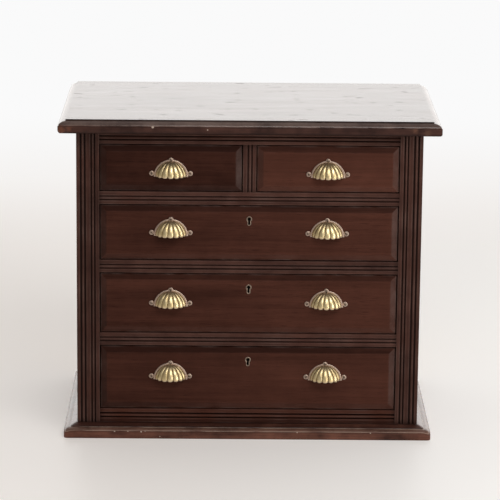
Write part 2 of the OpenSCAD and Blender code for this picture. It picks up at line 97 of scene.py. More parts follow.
@dataclass
class Shell:
    """A closed surface being built, with one value per point for each named attribute."""

    points: np.ndarray
    quads: np.ndarray
    caps: list[list[int]] = field(default_factory=list)
    values: dict[str, np.ndarray] = field(default_factory=dict)

    def moved(self, offset: Sequence[float]) -> "Shell":
        """The same surface moved by offset."""
        return Shell(self.points + np.asarray(offset, float), self.quads, self.caps, self.values)

    def with_value(self, name: str, value: float) -> "Shell":
        """The same surface with a constant attribute added."""
        values = dict(self.values)
        values[name] = np.full(len(self.points), float(value))
        return Shell(self.points, self.quads, self.caps, values)

    @staticmethod
    def joined(shells: Iterable["Shell"]) -> "Shell":
        """Several surfaces as one, with attributes missing from one taken as 0."""
        parts = list(shells)
        names = sorted({name for s in parts for name in s.values})
        starts = np.cumsum([0] + [len(s.points) for s in parts[:-1]])
        return Shell(
            np.concatenate([s.points for s in parts]),
            np.concatenate([s.quads + start for s, start in zip(parts, starts)]),
            [[i + int(start) for i in cap] for s, start in zip(parts, starts) for cap in s.caps],
            {n: np.concatenate([s.values.get(n, np.zeros(len(s.points))) for s in parts]) for n in names},
        )


def loft(rings: np.ndarray, wrap: bool = False, values: dict[str, np.ndarray] | None = None) -> Shell:
    """A surface through a stack of closed rings.

    Args:
        rings: points of shape (rings, points per ring, 3).
        wrap: whether the last ring meets the first; otherwise both ends get a flat cap.
        values: attributes as one number per ring or one per point.

    Returns:
        The closed surface.
    """
    rows, cols = rings.shape[:2]
    caps = [] if wrap else [list(range(cols)), list(range((rows - 1) * cols, rows * cols))]
    spread = {}
    for name, value in (values or {}).items():
        value = np.asarray(value, float)
        spread[name] = (np.repeat(value, cols) if value.ndim == 1 else value.reshape(-1)).copy()
    return Shell(rings.reshape(-1, 3), grid_quads(rows, cols, wrap, True), caps, spread)


def smooth_noise(t: np.ndarray, seed: int, scale: float, terms: int = 5) -> np.ndarray:
    """A soft random line: a few sines of random phase whose wavelengths lie near scale.

    Args:
        t: places along the line, in millimetres.
        seed: seed of the wavelengths and phases.
        scale: about how long the waves are, in millimetres.
        terms: number of sines.

    Returns:
        Values of about +-1, in the shape of t.
    """
    rng = np.random.default_rng(seed)
    waves = scale * rng.uniform(0.5, 2.2, terms)
    phases = rng.uniform(0, 2 * math.pi, terms)
    return np.sin(2 * math.pi * t[..., None] / waves + phases).sum(-1) / math.sqrt(terms)


def resample(line: np.ndarray, step: float) -> np.ndarray:
    """Evenly spaced points along a polyline, interpolated over its length.

    Args:
        line: the polyline's corners.
        step: about how far apart the points are.

    Returns:
        The points, with both ends of the line among them.
    """
    lengths = np.concatenate([[0], np.cumsum(np.hypot(*np.diff(line, axis=0).T))])
    t = np.linspace(0, lengths[-1], max(2, int(math.ceil(lengths[-1] / step)) + 1))
    return np.stack([np.interp(t, lengths, line[:, k]) for k in range(2)], axis=1)


def blurred(line: np.ndarray, width: float) -> np.ndarray:
    """A polyline averaged with a bell curve, its ends kept in place.

    Args:
        line: evenly spaced points.
        width: spread of the bell curve, in points.

    Returns:
        As many points. Past each end the line goes on as its point reflection, so the ends stay.
    """
    reach = max(1, int(3 * width))
    kernel = np.exp(-0.5 * (np.arange(-reach, reach + 1) / width) ** 2)
    kernel /= kernel.sum()
    head = 2 * line[0] - line[reach:0:-1]
    tail = 2 * line[-1] - line[-2 : -reach - 2 : -1]
    padded = np.concatenate([head, line, tail])
    return np.stack([np.convolve(padded[:, k], kernel, "valid") for k in range(2)], axis=1)


def ramp(value: np.ndarray, start: float, end: float) -> np.ndarray:
    """0 at start and before it, 1 at end and past it, and straight between them."""
    return np.clip((value - start) / (end - start), 0, 1)


def band(value: np.ndarray, low: float, high: float, soft: float) -> np.ndarray:
    """1 from low to high and 0 outside, with a ramp of width soft across each limit."""
    return np.clip(np.minimum(value - low, high - value) / soft + 0.5, 0, 1)


@dataclass(frozen=True)
class Profile:
    """A softened section.

    Attributes:
        line: its points.
        relief: how far each point stands out of (+) or sinks into (-) its surroundings.
    """

    line: np.ndarray
    relief: np.ndarray

    @classmethod
    def of(cls, corners: Sequence[Sequence[float]], step: float = 0.25, radius: float = 0.45) -> "Profile":
        """Rounds the corners of a polyline that has its material on the left of its direction of travel.

        Args:
            corners: the polyline, in millimetres.
            step: distance between points.
            radius: about how far the rounding reaches from each corner.

        Returns:
            The softened profile. Relief is the distance along the outward normal between the line
            and the same line blurred much more, so it is positive on arrises, negative in grooves.
        """
        fine = resample(np.asarray(corners, float), step)
        line = blurred(fine, radius / step)
        wide = blurred(line, RELIEF_REACH / step)
        tangent = np.gradient(line, axis=0)
        tangent /= np.linalg.norm(tangent, axis=1, keepdims=True)
        outward = np.stack([tangent[:, 1], -tangent[:, 0]], axis=1)
        return cls(line, ((line - wide) * outward).sum(1))

    def values(self, wear_gain: float = 7.0, hollow_dark_gain: float = 7.0) -> dict[str, np.ndarray]:
        """Wear where the profile stands out and darkening where it sinks, both 0 to 1."""
        return {
            "wear": np.clip(self.relief * wear_gain, 0, 1),
            "grime": np.clip(-self.relief * hollow_dark_gain, 0, 1),
        }


def rectangle(x0: np.ndarray, x1: np.ndarray, y0: np.ndarray, y1: np.ndarray, nx: int, ny: int,
              radius: float = 0.35, turn: int = 3) -> np.ndarray:
    """Rings of rounded rectangles, one for each set of limits.

    Each ring runs anticlockwise from the right side's top corner: an arc of turn + 1 points at
    every corner and straight sides with nx or ny points between the arcs.

    Args:
        x0, x1, y0, y1: limits of each rectangle.
        nx, ny: points inside each side.
        radius: corner radius.
        turn: steps in a corner's arc.

    Returns:
        Array of shape (rings, points, 2).
    """
    limits = [np.atleast_1d(np.asarray(v, float)) for v in (x0, x1, y0, y1)]
    x0, x1, y0, y1 = np.broadcast_arrays(*limits)
    centres = [(x1 - radius, y1 - radius), (x0 + radius, y1 - radius),
               (x0 + radius, y0 + radius), (x1 - radius, y0 + radius)]
    pieces = []
    for k, (cx, cy) in enumerate(centres):
        a = math.pi / 2 * (k + np.linspace(0, 1, turn + 1))
        arc = np.stack([cx[:, None] + radius * np.cos(a), cy[:, None] + radius * np.sin(a)], axis=-1)
        nxt = centres[(k + 1) % 4]
        a1 = math.pi / 2 * (k + 1)
        start = arc[:, -1:]
        end = np.stack([nxt[0] + radius * math.cos(a1), nxt[1] + radius * math.sin(a1)], axis=-1)[:, None]
        t = np.linspace(0, 1, (nx if k % 2 == 0 else ny) + 2)[1:-1][None, :, None]
        pieces += [arc, start + (end - start) * t]
    return np.concatenate(pieces, axis=1)


# ---- shaders ----------------------------------------------------------------

# Repeats of the noises per metre: marks of about 30, 6, 2.5 and 1 mm.
PATCHES, CLOUDS, SPECKLES, SPOTS = ((float(n),) * 3 for n in (35, 160, 420, 900))


class Sock:
    """A shader value that can be used in sums like a number."""

    def __init__(self, graph: "Graph", socket: bpy.types.NodeSocket) -> None:
        """Wraps a socket of a graph."""
        self.graph, self.socket = graph, socket

    def maths(self, operation: str, *others: "Sock | float", clamp: bool = False) -> "Sock":
        """Result of a Math node on this value and the others."""
        node = self.graph.tree.nodes.new("ShaderNodeMath")
        node.operation, node.use_clamp = operation, clamp
        for target, value in zip(node.inputs, (self, *others)):
            self.graph.feed(target, value)
        return Sock(self.graph, node.outputs[0])

    def __add__(self, other: "Sock | float") -> "Sock":
        """Sum."""
        return self.maths("ADD", other)

    __radd__ = __add__

    def __mul__(self, other: "Sock | float") -> "Sock":
        """Product."""
        return self.maths("MULTIPLY", other)

    __rmul__ = __mul__

    def __sub__(self, other: "Sock | float") -> "Sock":
        """Difference."""
        return self.maths("SUBTRACT", other)

    def __rsub__(self, other: float) -> "Sock":
        """A number less this value."""
        return (self * -1.0) + other

    def clamped(self) -> "Sock":
        """This value kept within 0 to 1."""
        return self.maths("ADD", 0.0, clamp=True)

    def between(self, low: float, high: float) -> "Sock":
        """0 below low, 1 above high, with a smooth rise between them."""
        node = self.graph.node("ShaderNodeMapRange", {"Value": self, "From Min": low, "From Max": high},
                               interpolation_type="SMOOTHSTEP")
        return Sock(self.graph, node.outputs["Result"])


class Graph:
    """A node tree being filled."""

    def __init__(self, tree: bpy.types.NodeTree) -> None:
        """Takes a node tree and empties it."""
        self.tree = tree
        tree.nodes.clear()

    @classmethod
    def of_material(cls, name: str) -> tuple[bpy.types.Material, "Graph"]:
        """A new material and its empty tree."""
        material = bpy.data.materials.new(name)
        material.use_nodes = True
        return material, cls(material.node_tree)

    def feed(self, target: bpy.types.NodeSocket, value: object) -> None:
        """Links a Sock or sets a constant on an input."""
        if isinstance(value, Sock):
            self.tree.links.new(value.socket, target)
        elif isinstance(value, tuple) and len(value) == 3 and target.type == "RGBA":
            target.default_value = (*value, 1.0)
        else:
            target.default_value = value

    def node(self, kind: str, inputs: dict[str | int, object] | None = None,
             **settings: object) -> bpy.types.Node:
        """Adds any node, sets its properties and feeds its inputs."""
        node = self.tree.nodes.new(kind)
        for name, value in settings.items():
            setattr(node, name, value)
        for name, value in (inputs or {}).items():
            self.feed(node.inputs[name], value)
        return node

    def out(self, kind: str, output: str | int, inputs: dict[str | int, object] | None = None,
            **settings: object) -> Sock:
        """Adds any node and returns one of its outputs."""
        return Sock(self, self.node(kind, inputs, **settings).outputs[output])

    def noise(self, where: Sock, scale: float = 1.0, detail: float = 4.0, rough: float = 0.55) -> Sock:
        """Noise of 0 to 1 at a place."""
        return self.out("ShaderNodeTexNoise", "Fac",
                        {"Vector": where, "Scale": scale, "Detail": detail, "Roughness": rough})

    def scaled(self, where: Sock, factors: Sequence[float], shift: Sock | None = None) -> Sock:
        """A place stretched along the axes, moved along all three by shift."""
        stretched = self.out("ShaderNodeVectorMath", 0, {0: where, 1: tuple(factors)}, operation="MULTIPLY")
        if shift is None:
            return stretched
        return self.out("ShaderNodeVectorMath", 0, {0: stretched, 1: shift}, operation="ADD")

    def mix(self, factor: Sock | float, a: "Sock | Colour", b: "Sock | Colour") -> Sock:
        """Colour a turned into colour b by factor; a Mix node's colours are inputs 6 and 7."""
        return self.out("ShaderNodeMix", 2, {"Factor": factor, 6: a, 7: b}, data_type="RGBA")

    def place(self) -> Sock:
        """Object coordinates."""
        return self.out("ShaderNodeTexCoord", "Object")

    def attribute(self, name: str) -> Sock:
        """A number stored on the mesh."""
        return self.out("ShaderNodeAttribute", "Fac", attribute_name=name)

    def bump(self, height: Sock, distance: float, strength: float = 1.0,
             normal: Sock | None = None) -> Sock:
        """A normal bent by a height of 0 to 1 that stands for distance in metres."""
        inputs: dict[str | int, object] = {"Height": height, "Distance": distance, "Strength": strength}
        if normal is not None:
            inputs["Normal"] = normal
        return self.out("ShaderNodeBump", "Normal", inputs)

    def surface(self, inputs: dict[str | int, object]) -> None:
        """Ends the tree with a Principled shader."""
        shader = self.node("ShaderNodeBsdfPrincipled", inputs)
        self.node("ShaderNodeOutputMaterial", {"Surface": Sock(self, shader.outputs[0])})


@dataclass(frozen=True)
class Chip:
    """A spot where the finish is gone.

    Attributes:
        spot: its middle, in millimetres.
        size: its radius, in millimetres.
        colour: the wood that shows.
        fray: how ragged its outline is.
    """

    spot: tuple[float, float, float]
    size: float
    colour: Colour = (0.42, 0.33, 0.27)
    fray: float = 1.0

    def over(self, g: Graph, colour: Sock, place: Sock, speckle: Sock) -> Sock:
        """Paints this chip on a colour: a ball round its spot whose edge speckle frays.

        Args:
            g: the material's graph.
            colour: the colour so far.
            place: object coordinates.
            speckle: fine noise of 0 to 1.

        Returns:
            The colour with the chip on it.
        """
        middle, radius = tuple(v * MM for v in self.spot), self.size * MM
        away = g.out("ShaderNodeVectorMath", "Value", {0: place, 1: middle}, operation="DISTANCE")
        ragged = away + (speckle - 0.5) * (radius * self.fray)
        inside = 1 - ragged.between((1.1 - 0.4 * self.fray) * radius, 1.1 * radius)
        return g.mix(inside, colour, self.colour)


@dataclass(frozen=True)
class Wood:
    """A wood finish.

    Attributes:
        name: name of the material.
        grain: direction of the grain.
        dark, light: colours of the darkest and lightest grain.
        worn: colour where the polish is worn away, also used for the painted sheen on drawer bevels and
            mouldings.
        soil_and_shade: colour of the pores and of the darkened hollows, also used for the painted shade in
            moulded fillets.
        roughness: mean roughness of the wood.
        coat, coat_roughness: weight and roughness of the polish on top.
        specular: strength of the wood's own shine.
        streak_contrast: how strong the grain is.
        pore_depth: how much the pores darken the wood.
        wear_gain: how strongly wear, and the painted sheen that goes with it, shows.
        mottle: how strong the patches of tone are.
        dents: depth of the dents and scuffs, 0 for none.
        chips: spots where the finish is gone.
    """

    name: str
    grain: Grain
    dark: Colour
    light: Colour
    worn: Colour
    soil_and_shade: Colour
    roughness: float = 0.42
    coat: float = 0.0
    coat_roughness: float = 0.12
    specular: float = 0.08
    streak_contrast: float = 1.0
    pore_depth: float = 0.4
    wear_gain: float = 0.5
    mottle: float = 0.4
    dents: float = 0.0
    chips: Sequence[Chip] = ()

    def build(self) -> bpy.types.Material:
        """Makes the material.

        Returns:
            Wood whose streaks, bands and pores are noise stretched along the grain, mixed towards
            the worn colour by the wear attribute, which also carries painted sheen, and towards the
            soil_and_shade colour by the grime attribute, which also carries painted shade.
            On a board with dents the gloss attribute says where the polish is thick,
            and the dents and scuffs break up its shine.
        """
        material, g = Graph.of_material(self.name)
        place, board = g.place(), g.attribute("board")
        along = np.array(self.grain.value)

        def stretched(lengthwise: float, across: float) -> Sock:
            """Places for a noise with that many repeats per metre along and across the grain."""
            return g.scaled(place, tuple(along * lengthwise + (1 - along) * across), board * 3.7)

        warp = g.noise(stretched(3, 9), 1, 2)
        streaks = g.noise(stretched(5, 190), 1, 5, 0.62)
        bands = g.noise(stretched(2.2, 24), 1, 3, 0.5)
        fine = g.noise(stretched(26, 900), 1, 3, 0.6)
        pores = g.noise(stretched(60, 1500), 1, 2, 0.5).between(0.6, 0.7)
        grain = streaks * 0.5 + bands * 0.5 + fine * 0.2 + warp * 0.15 - 0.675
        patches = g.noise(g.scaled(place, PATCHES, board), 1, 3, 0.6)
        tone = grain * (2.0 * self.streak_contrast) + (patches - 0.5) * self.mottle + 0.45
        tone = tone + g.attribute("tone") * 0.35
        colour = g.mix(tone.clamped(), self.dark, self.light)
        colour = g.mix(pores * self.pore_depth, colour, self.soil_and_shade)
        speckle = g.noise(g.scaled(place, SPECKLES, board), 1, 4, 0.7)
        # Painted sheen also comes in here: the drawer bevels and the mouldings' rounds are paled towards the
        # worn colour.
        wear_and_sheen_share = (speckle * 0.8 + patches * 1.4 - 0.6).clamped()
        wear = (g.attribute("wear") * wear_and_sheen_share * (self.wear_gain * 1.6)).clamped()
        colour = g.mix(wear, colour, self.worn)
        # Painted shade also comes in here: the moulded fillets are darkened, along with the hollows.
        grime = (g.attribute("grime") * (0.75 + 0.5 * patches)).clamped()
        colour = g.mix(grime, colour, self.soil_and_shade)
        for chip in self.chips:
            colour = chip.over(g, colour, place, speckle)
        rough = (patches - 0.5) * 0.14 + (streaks - 0.5) * 0.12 + self.roughness + wear * 0.12 + grime * 0.25
        normal = g.bump(fine * 0.5 + streaks * 0.5, 0.00005, 0.6)
        coat: Sock | float = self.coat
        if self.dents:
            gloss = g.attribute("gloss")
            coat = gloss * self.coat + (1 - gloss) * (self.coat * 0.12)
            dents = g.noise(stretched(45, 95), 1, 2, 0.4).between(0.66, 0.78)
            scuffs = g.noise(stretched(7, 70), 1, 4, 0.6)
            normal = g.bump(scuffs * 0.6 + dents * -0.8, 0.0004 * self.dents, 0.5, normal)
            rough = rough + dents * 0.25 + (scuffs - 0.5) * 0.2
            coat = coat * (1.04 - dents * 0.3 - scuffs * 0.12)
        g.surface({
            "Base Color": colour, "Roughness": rough.clamped(), "Normal": normal,
            "Specular IOR Level": self.specular, "Coat Weight": coat, "Coat Roughness": self.coat_roughness,
        })
        return material


@dataclass(frozen=True)
class Metal:
    """A metal finish with patina in its hollows.

    Attributes:
        name: name of the material.
        bright, dull: the two colours of the clouded metal.
        patina: colour in the hollows.
        tarnish: colour where the tarnish attribute is 1.
        roughness: mean roughness.
        patina_gain: how strongly the patina shows.
    """

    name: str
    bright: Colour
    dull: Colour
    patina: Colour
    tarnish: Colour
    roughness: float
    patina_gain: float = 1.0

    def build(self) -> bpy.types.Material:
        """Makes the material.

        Returns:
            Metal clouded by noise, turned towards the tarnish colour and roughened by the tarnish
            attribute, and turned towards the patina colour by the grime attribute.
        """
        material, g = Graph.of_material(self.name)
        place = g.place()
        cloud = g.noise(g.scaled(place, CLOUDS), 1, 4, 0.6)
        spots = g.noise(g.scaled(place, SPOTS), 1, 3, 0.6)
        tarnish = (g.attribute("tarnish") * (0.7 + cloud * 0.6)).clamped()
        colour = g.mix(cloud.between(0.35, 0.7), self.bright, self.dull)
        colour = g.mix(tarnish, colour, self.tarnish)
        uneven = 0.6 + cloud + spots * 0.3
        grime = (g.attribute("grime") * (self.patina_gain * 0.7) * uneven).clamped()
        colour = g.mix(grime, colour, self.patina)
        rough = cloud * 0.14 + spots * 0.08 + grime * 0.2 + tarnish * 0.14 + (self.roughness - 0.1)
        normal = g.bump(cloud * 0.6 + spots * 0.4, 0.0001, 0.25)
        g.surface({"Base Color": colour, "Metallic": 1.0, "Roughness": rough.clamped(), "Normal": normal})
        return material


class Finishes:
    """Every material of the chest, made when first asked for."""

    RED = {"dark": (0.026, 0.0092, 0.0062), "light": (0.092, 0.0335, 0.0220),
           "worn": (0.155, 0.112, 0.100), "soil_and_shade": (0.0045, 0.0020, 0.0015)}
    BROWN = {"dark": (0.026, 0.0100, 0.0072), "light": (0.095, 0.0400, 0.0290),
             "worn": (0.19, 0.130, 0.108), "soil_and_shade": (0.0085, 0.0032, 0.0022)}
    FOOT = {"dark": (0.042, 0.0150, 0.0100), "light": (0.165, 0.0660, 0.0430),
            "worn": (0.32, 0.220, 0.165), "soil_and_shade": (0.0050, 0.0026, 0.0020)}
    PALE = {"dark": (0.30, 0.185, 0.095), "light": (0.50, 0.35, 0.20),
            "worn": (0.55, 0.42, 0.28), "soil_and_shade": (0.12, 0.07, 0.04)}
    CREAM_CHIPS = tuple(Chip((x, -143.0, z), size) for x, z, size in
                        ((-121.5, 407.6, 1.7), (-53.0, 404.5, 0.9)))
    RUBBED_CHIPS = (
        Chip((-236.0, -142.0, 402.5), 7.0, (0.12, 0.045, 0.026), 2.4),
        Chip((-226.0, -143.0, 404.5), 4.5, (0.11, 0.042, 0.026), 2.4),
        Chip((222.0, -143.0, 402.5), 6.0, (0.080, 0.038, 0.024), 2.4),
        Chip((206.0, -143.0, 405.5), 4.5, (0.10, 0.045, 0.028), 2.4),
    )
    BASE_CHIPS = tuple(Chip((x, -137.5, z), size) for x, z, size in
                       ((-170, 9.6, 1.0), (-153, 9.9, 1.1), (-136, 9.3, 1.2), (-131, 10.1, 0.9),
                        (-112, 3.0, 0.8), (64, 9.6, 1.0), (158, 9.5, 0.9)))
    TABLE = {
        "front": Wood("mahogany_front", Grain.ALONG_X, **RED, streak_contrast=0.75, specular=0.02),
        "rail": Wood("mahogany_rail", Grain.ALONG_X, **BROWN, mottle=1.0),
        "stile": Wood("mahogany_stile", Grain.ALONG_Z, **BROWN, mottle=0.8),
        "panel": Wood("mahogany_panel", Grain.ALONG_Z, **RED),
        "top": Wood("mahogany_top", Grain.ALONG_X, **BROWN, coat=1.0, coat_roughness=0.15,
                    dents=1.0, mottle=1.6, wear_gain=1.0, chips=CREAM_CHIPS + RUBBED_CHIPS),
        "base": Wood("mahogany_base", Grain.ALONG_X, **FOOT, coat=1.0, coat_roughness=0.24,
                     dents=0.6, wear_gain=1.6, streak_contrast=1.3, mottle=1.8, chips=BASE_CHIPS),
        "pine_x": Wood("pine_across", Grain.ALONG_X, **PALE, roughness=0.6, pore_depth=0.15),
        "pine_y": Wood("pine_deep", Grain.ALONG_Y, **PALE, roughness=0.6, pore_depth=0.15),
        "brass": Metal("brass", bright=(0.86, 0.70, 0.40), dull=(0.72, 0.55, 0.28),
                       patina=(0.12, 0.078, 0.032), tarnish=(0.48, 0.36, 0.29),
                       roughness=0.36, patina_gain=0.85),
        "dull_brass": Metal("dull_brass", bright=(0.29, 0.220, 0.170), dull=(0.20, 0.145, 0.112),
                            patina=(0.04, 0.027, 0.02), tarnish=(0.26, 0.19, 0.155),
                            roughness=0.42),
        "iron": Metal("iron", bright=(0.06, 0.05, 0.042), dull=(0.04, 0.032, 0.027),
                      patina=(0.02, 0.015, 0.012), tarnish=(0.05, 0.04, 0.035), roughness=0.6),
        "steel": Metal("steel", bright=(0.20, 0.19, 0.18), dull=(0.13, 0.125, 0.115),
                       patina=(0.04, 0.035, 0.03), tarnish=(0.15, 0.13, 0.12), roughness=0.45),
    }

    def __init__(self) -> None:
        """Starts with no material made."""
        self.made: dict[str, bpy.types.Material] = {}

    def get(self, name: str) -> bpy.types.Material:
        """The material of that name."""
        if name not in self.made:
            self.made[name] = self.TABLE[name].build()
        return self.made[name]


# ---- pieces -----------------------------------------------------------------


@dataclass(frozen=True)
class Limits:
    """The box of a CAD node in millimetres."""

    low: np.ndarray
    high: np.ndarray

    @classmethod
    def of(cls, node: str) -> "Limits":
        """Reads the box of a node."""
        low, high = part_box(node)
        return cls(np.array(low) / MM, np.array(high) / MM)

    def grown(self, low: Sequence[float], high: Sequence[float]) -> "Limits":
        """The box with its faces pushed outwards."""
        return Limits(self.low - np.asarray(low, float), self.high + np.asarray(high, float))

    def carve(self, mesh: bpy.types.Mesh) -> bpy.types.Mesh:
        """Cuts this box out of a mesh.

        Args:
            mesh: a closed mesh in metres; it is used up.

        Returns:
            The mesh that is left, with its attributes.
        """
        solid = bmesh.new()
        middle, size = (self.low + self.high) / 2 * MM, (self.high - self.low) * MM
        bmesh.ops.create_cube(solid, size=1.0, matrix=Matrix.LocRotScale(middle, None, size))
        box = bpy.data.meshes.new("cutter")
        solid.to_mesh(box)
        solid.free()
        target, cutter = bpy.data.objects.new("target", mesh), bpy.data.objects.new("cutter", box)
        for obj in (target, cutter):
            bpy.context.scene.collection.objects.link(obj)
        cut = target.modifiers.new("cut", "BOOLEAN")
        cut.operation, cut.solver, cut.object = "DIFFERENCE", "MANIFOLD", cutter
        result = bpy.data.meshes.new_from_object(target.evaluated_get(bpy.context.evaluated_depsgraph_get()))
        for obj, old in ((target, mesh), (cutter, box)):
            bpy.data.objects.remove(obj)
            bpy.data.meshes.remove(old)
        return result


@dataclass
class Builder:
    """Turns shells into pieces that ride on the frame."""

    finishes: Finishes
    count: int = 0

    def piece(self, name: str, shell: Shell, body: str, nodes: Sequence[str], finish: str,
              sharp: float = 38.0, cuts: Sequence[Limits] = ()) -> bpy.types.Object:
        """Makes one piece.

        Args:
            name: name of the piece.
            shell: its surface, in millimetres.
            body: the CAD body it rides on.
            nodes: the CAD nodes it stands for.
            finish: its finish's key.
            sharp: edges that turn more than this many degrees stay sharp.
            cuts: boxes cut out of it.

        Returns:
            The new object.
        """
        mesh = bpy.data.meshes.new(name)
        mesh.from_pydata((shell.points * MM).tolist(), [], shell.quads.tolist() + shell.caps)
        for key, value in shell.values.items():
            mesh.attributes.new(key, "FLOAT", "POINT").data.foreach_set("value", value.astype(np.float32))
        work = bmesh.new()
        work.from_mesh(mesh)
        bmesh.ops.recalc_face_normals(work, faces=work.faces)
        work.to_mesh(mesh)
        work.free()
        for box in cuts:
            mesh = box.carve(mesh)
        mesh.name = name
        mesh.polygons.foreach_set("use_smooth", np.ones(len(mesh.polygons), bool))
        mesh.set_sharp_from_angle(angle=math.radians(sharp))
        mesh.materials.clear()
        mesh.materials.append(self.finishes.get(finish))
        mesh.polygons.foreach_set("material_index", np.zeros(len(mesh.polygons), np.int32))
        obj = bpy.data.objects.new(name, mesh)
        bpy.context.scene.collection.objects.link(obj)
        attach(obj, body)
        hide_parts(*nodes)
        self.count += 1
        LOG.info("%s: %d faces, on %s, in %s", name, len(mesh.polygons), body, finish)
        return obj

    def dress(self, node: str, finish: str, slot: str, edge: float = 0.4) -> None:
        """Keeps a CAD node, rounds its arrises and gives it a finish.

        Args:
            node: the CAD node.
            finish: its finish's key.
            slot: not used.
            edge: width of the rounding, in millimetres.
        """
        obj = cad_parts[node]
        obj.data.materials.clear()
        obj.data.materials.append(self.finishes.get(finish))
        weld = obj.modifiers.new("weld", "WELD")
        weld.merge_threshold = 0.01 * MM
        bevel = obj.modifiers.new("arris", "BEVEL")
        bevel.width = edge * MM
        bevel.segments = 2
        bevel.limit_method = "ANGLE"
        bevel.angle_limit = math.radians(35)
        self.count += 1
        LOG.info("%s: kept, in %s", node, finish)


@dataclass(frozen=True)
class Edge:
    """A moulded edge, as corners (inset, height) from the underside up to the board's flat top.

    Attributes:
        corners: the section, in millimetres.
        wear: pairs (height, share) that say how much of the wear shows at each height.
        fillet: the lowest and highest point of the upright fillet, which is darkened as painted shade.
        soil_and_shade: how strong the painted shade in the fillet is, 0 to 1.
        round_sheen: the lowest and highest point of the round, which gets a painted sheen.
        gloss_from: height above which the polish is thick.
    """

    corners: Sequence[tuple[float, float]]
    wear: Sequence[tuple[float, float]]
    fillet: tuple[float, float]
    soil_and_shade: float
    round_sheen: tuple[float, float]
    gloss_from: float

    @staticmethod
    def arc(foot: float, run: float, low: float, rise: float, turn: float,
            count: int = 12) -> list[tuple[float, float]]:
        """Part of a quarter round, stretched to fit: cosines across and sines up.

        Args:
            foot, low: inset and height where it starts, upright.
            run, rise: how far it goes inwards and up.
            turn: how many degrees it turns through.
            count: number of corners.

        Returns:
            Corners as (inset, height).
        """
        a = np.radians(np.linspace(0, turn, count))
        across = (1 - np.cos(a)) / (1 - math.cos(math.radians(turn)))
        up = np.sin(a) / math.sin(math.radians(turn))
        return [(foot + run * float(u), low + rise * float(v)) for u, v in zip(across, up)]


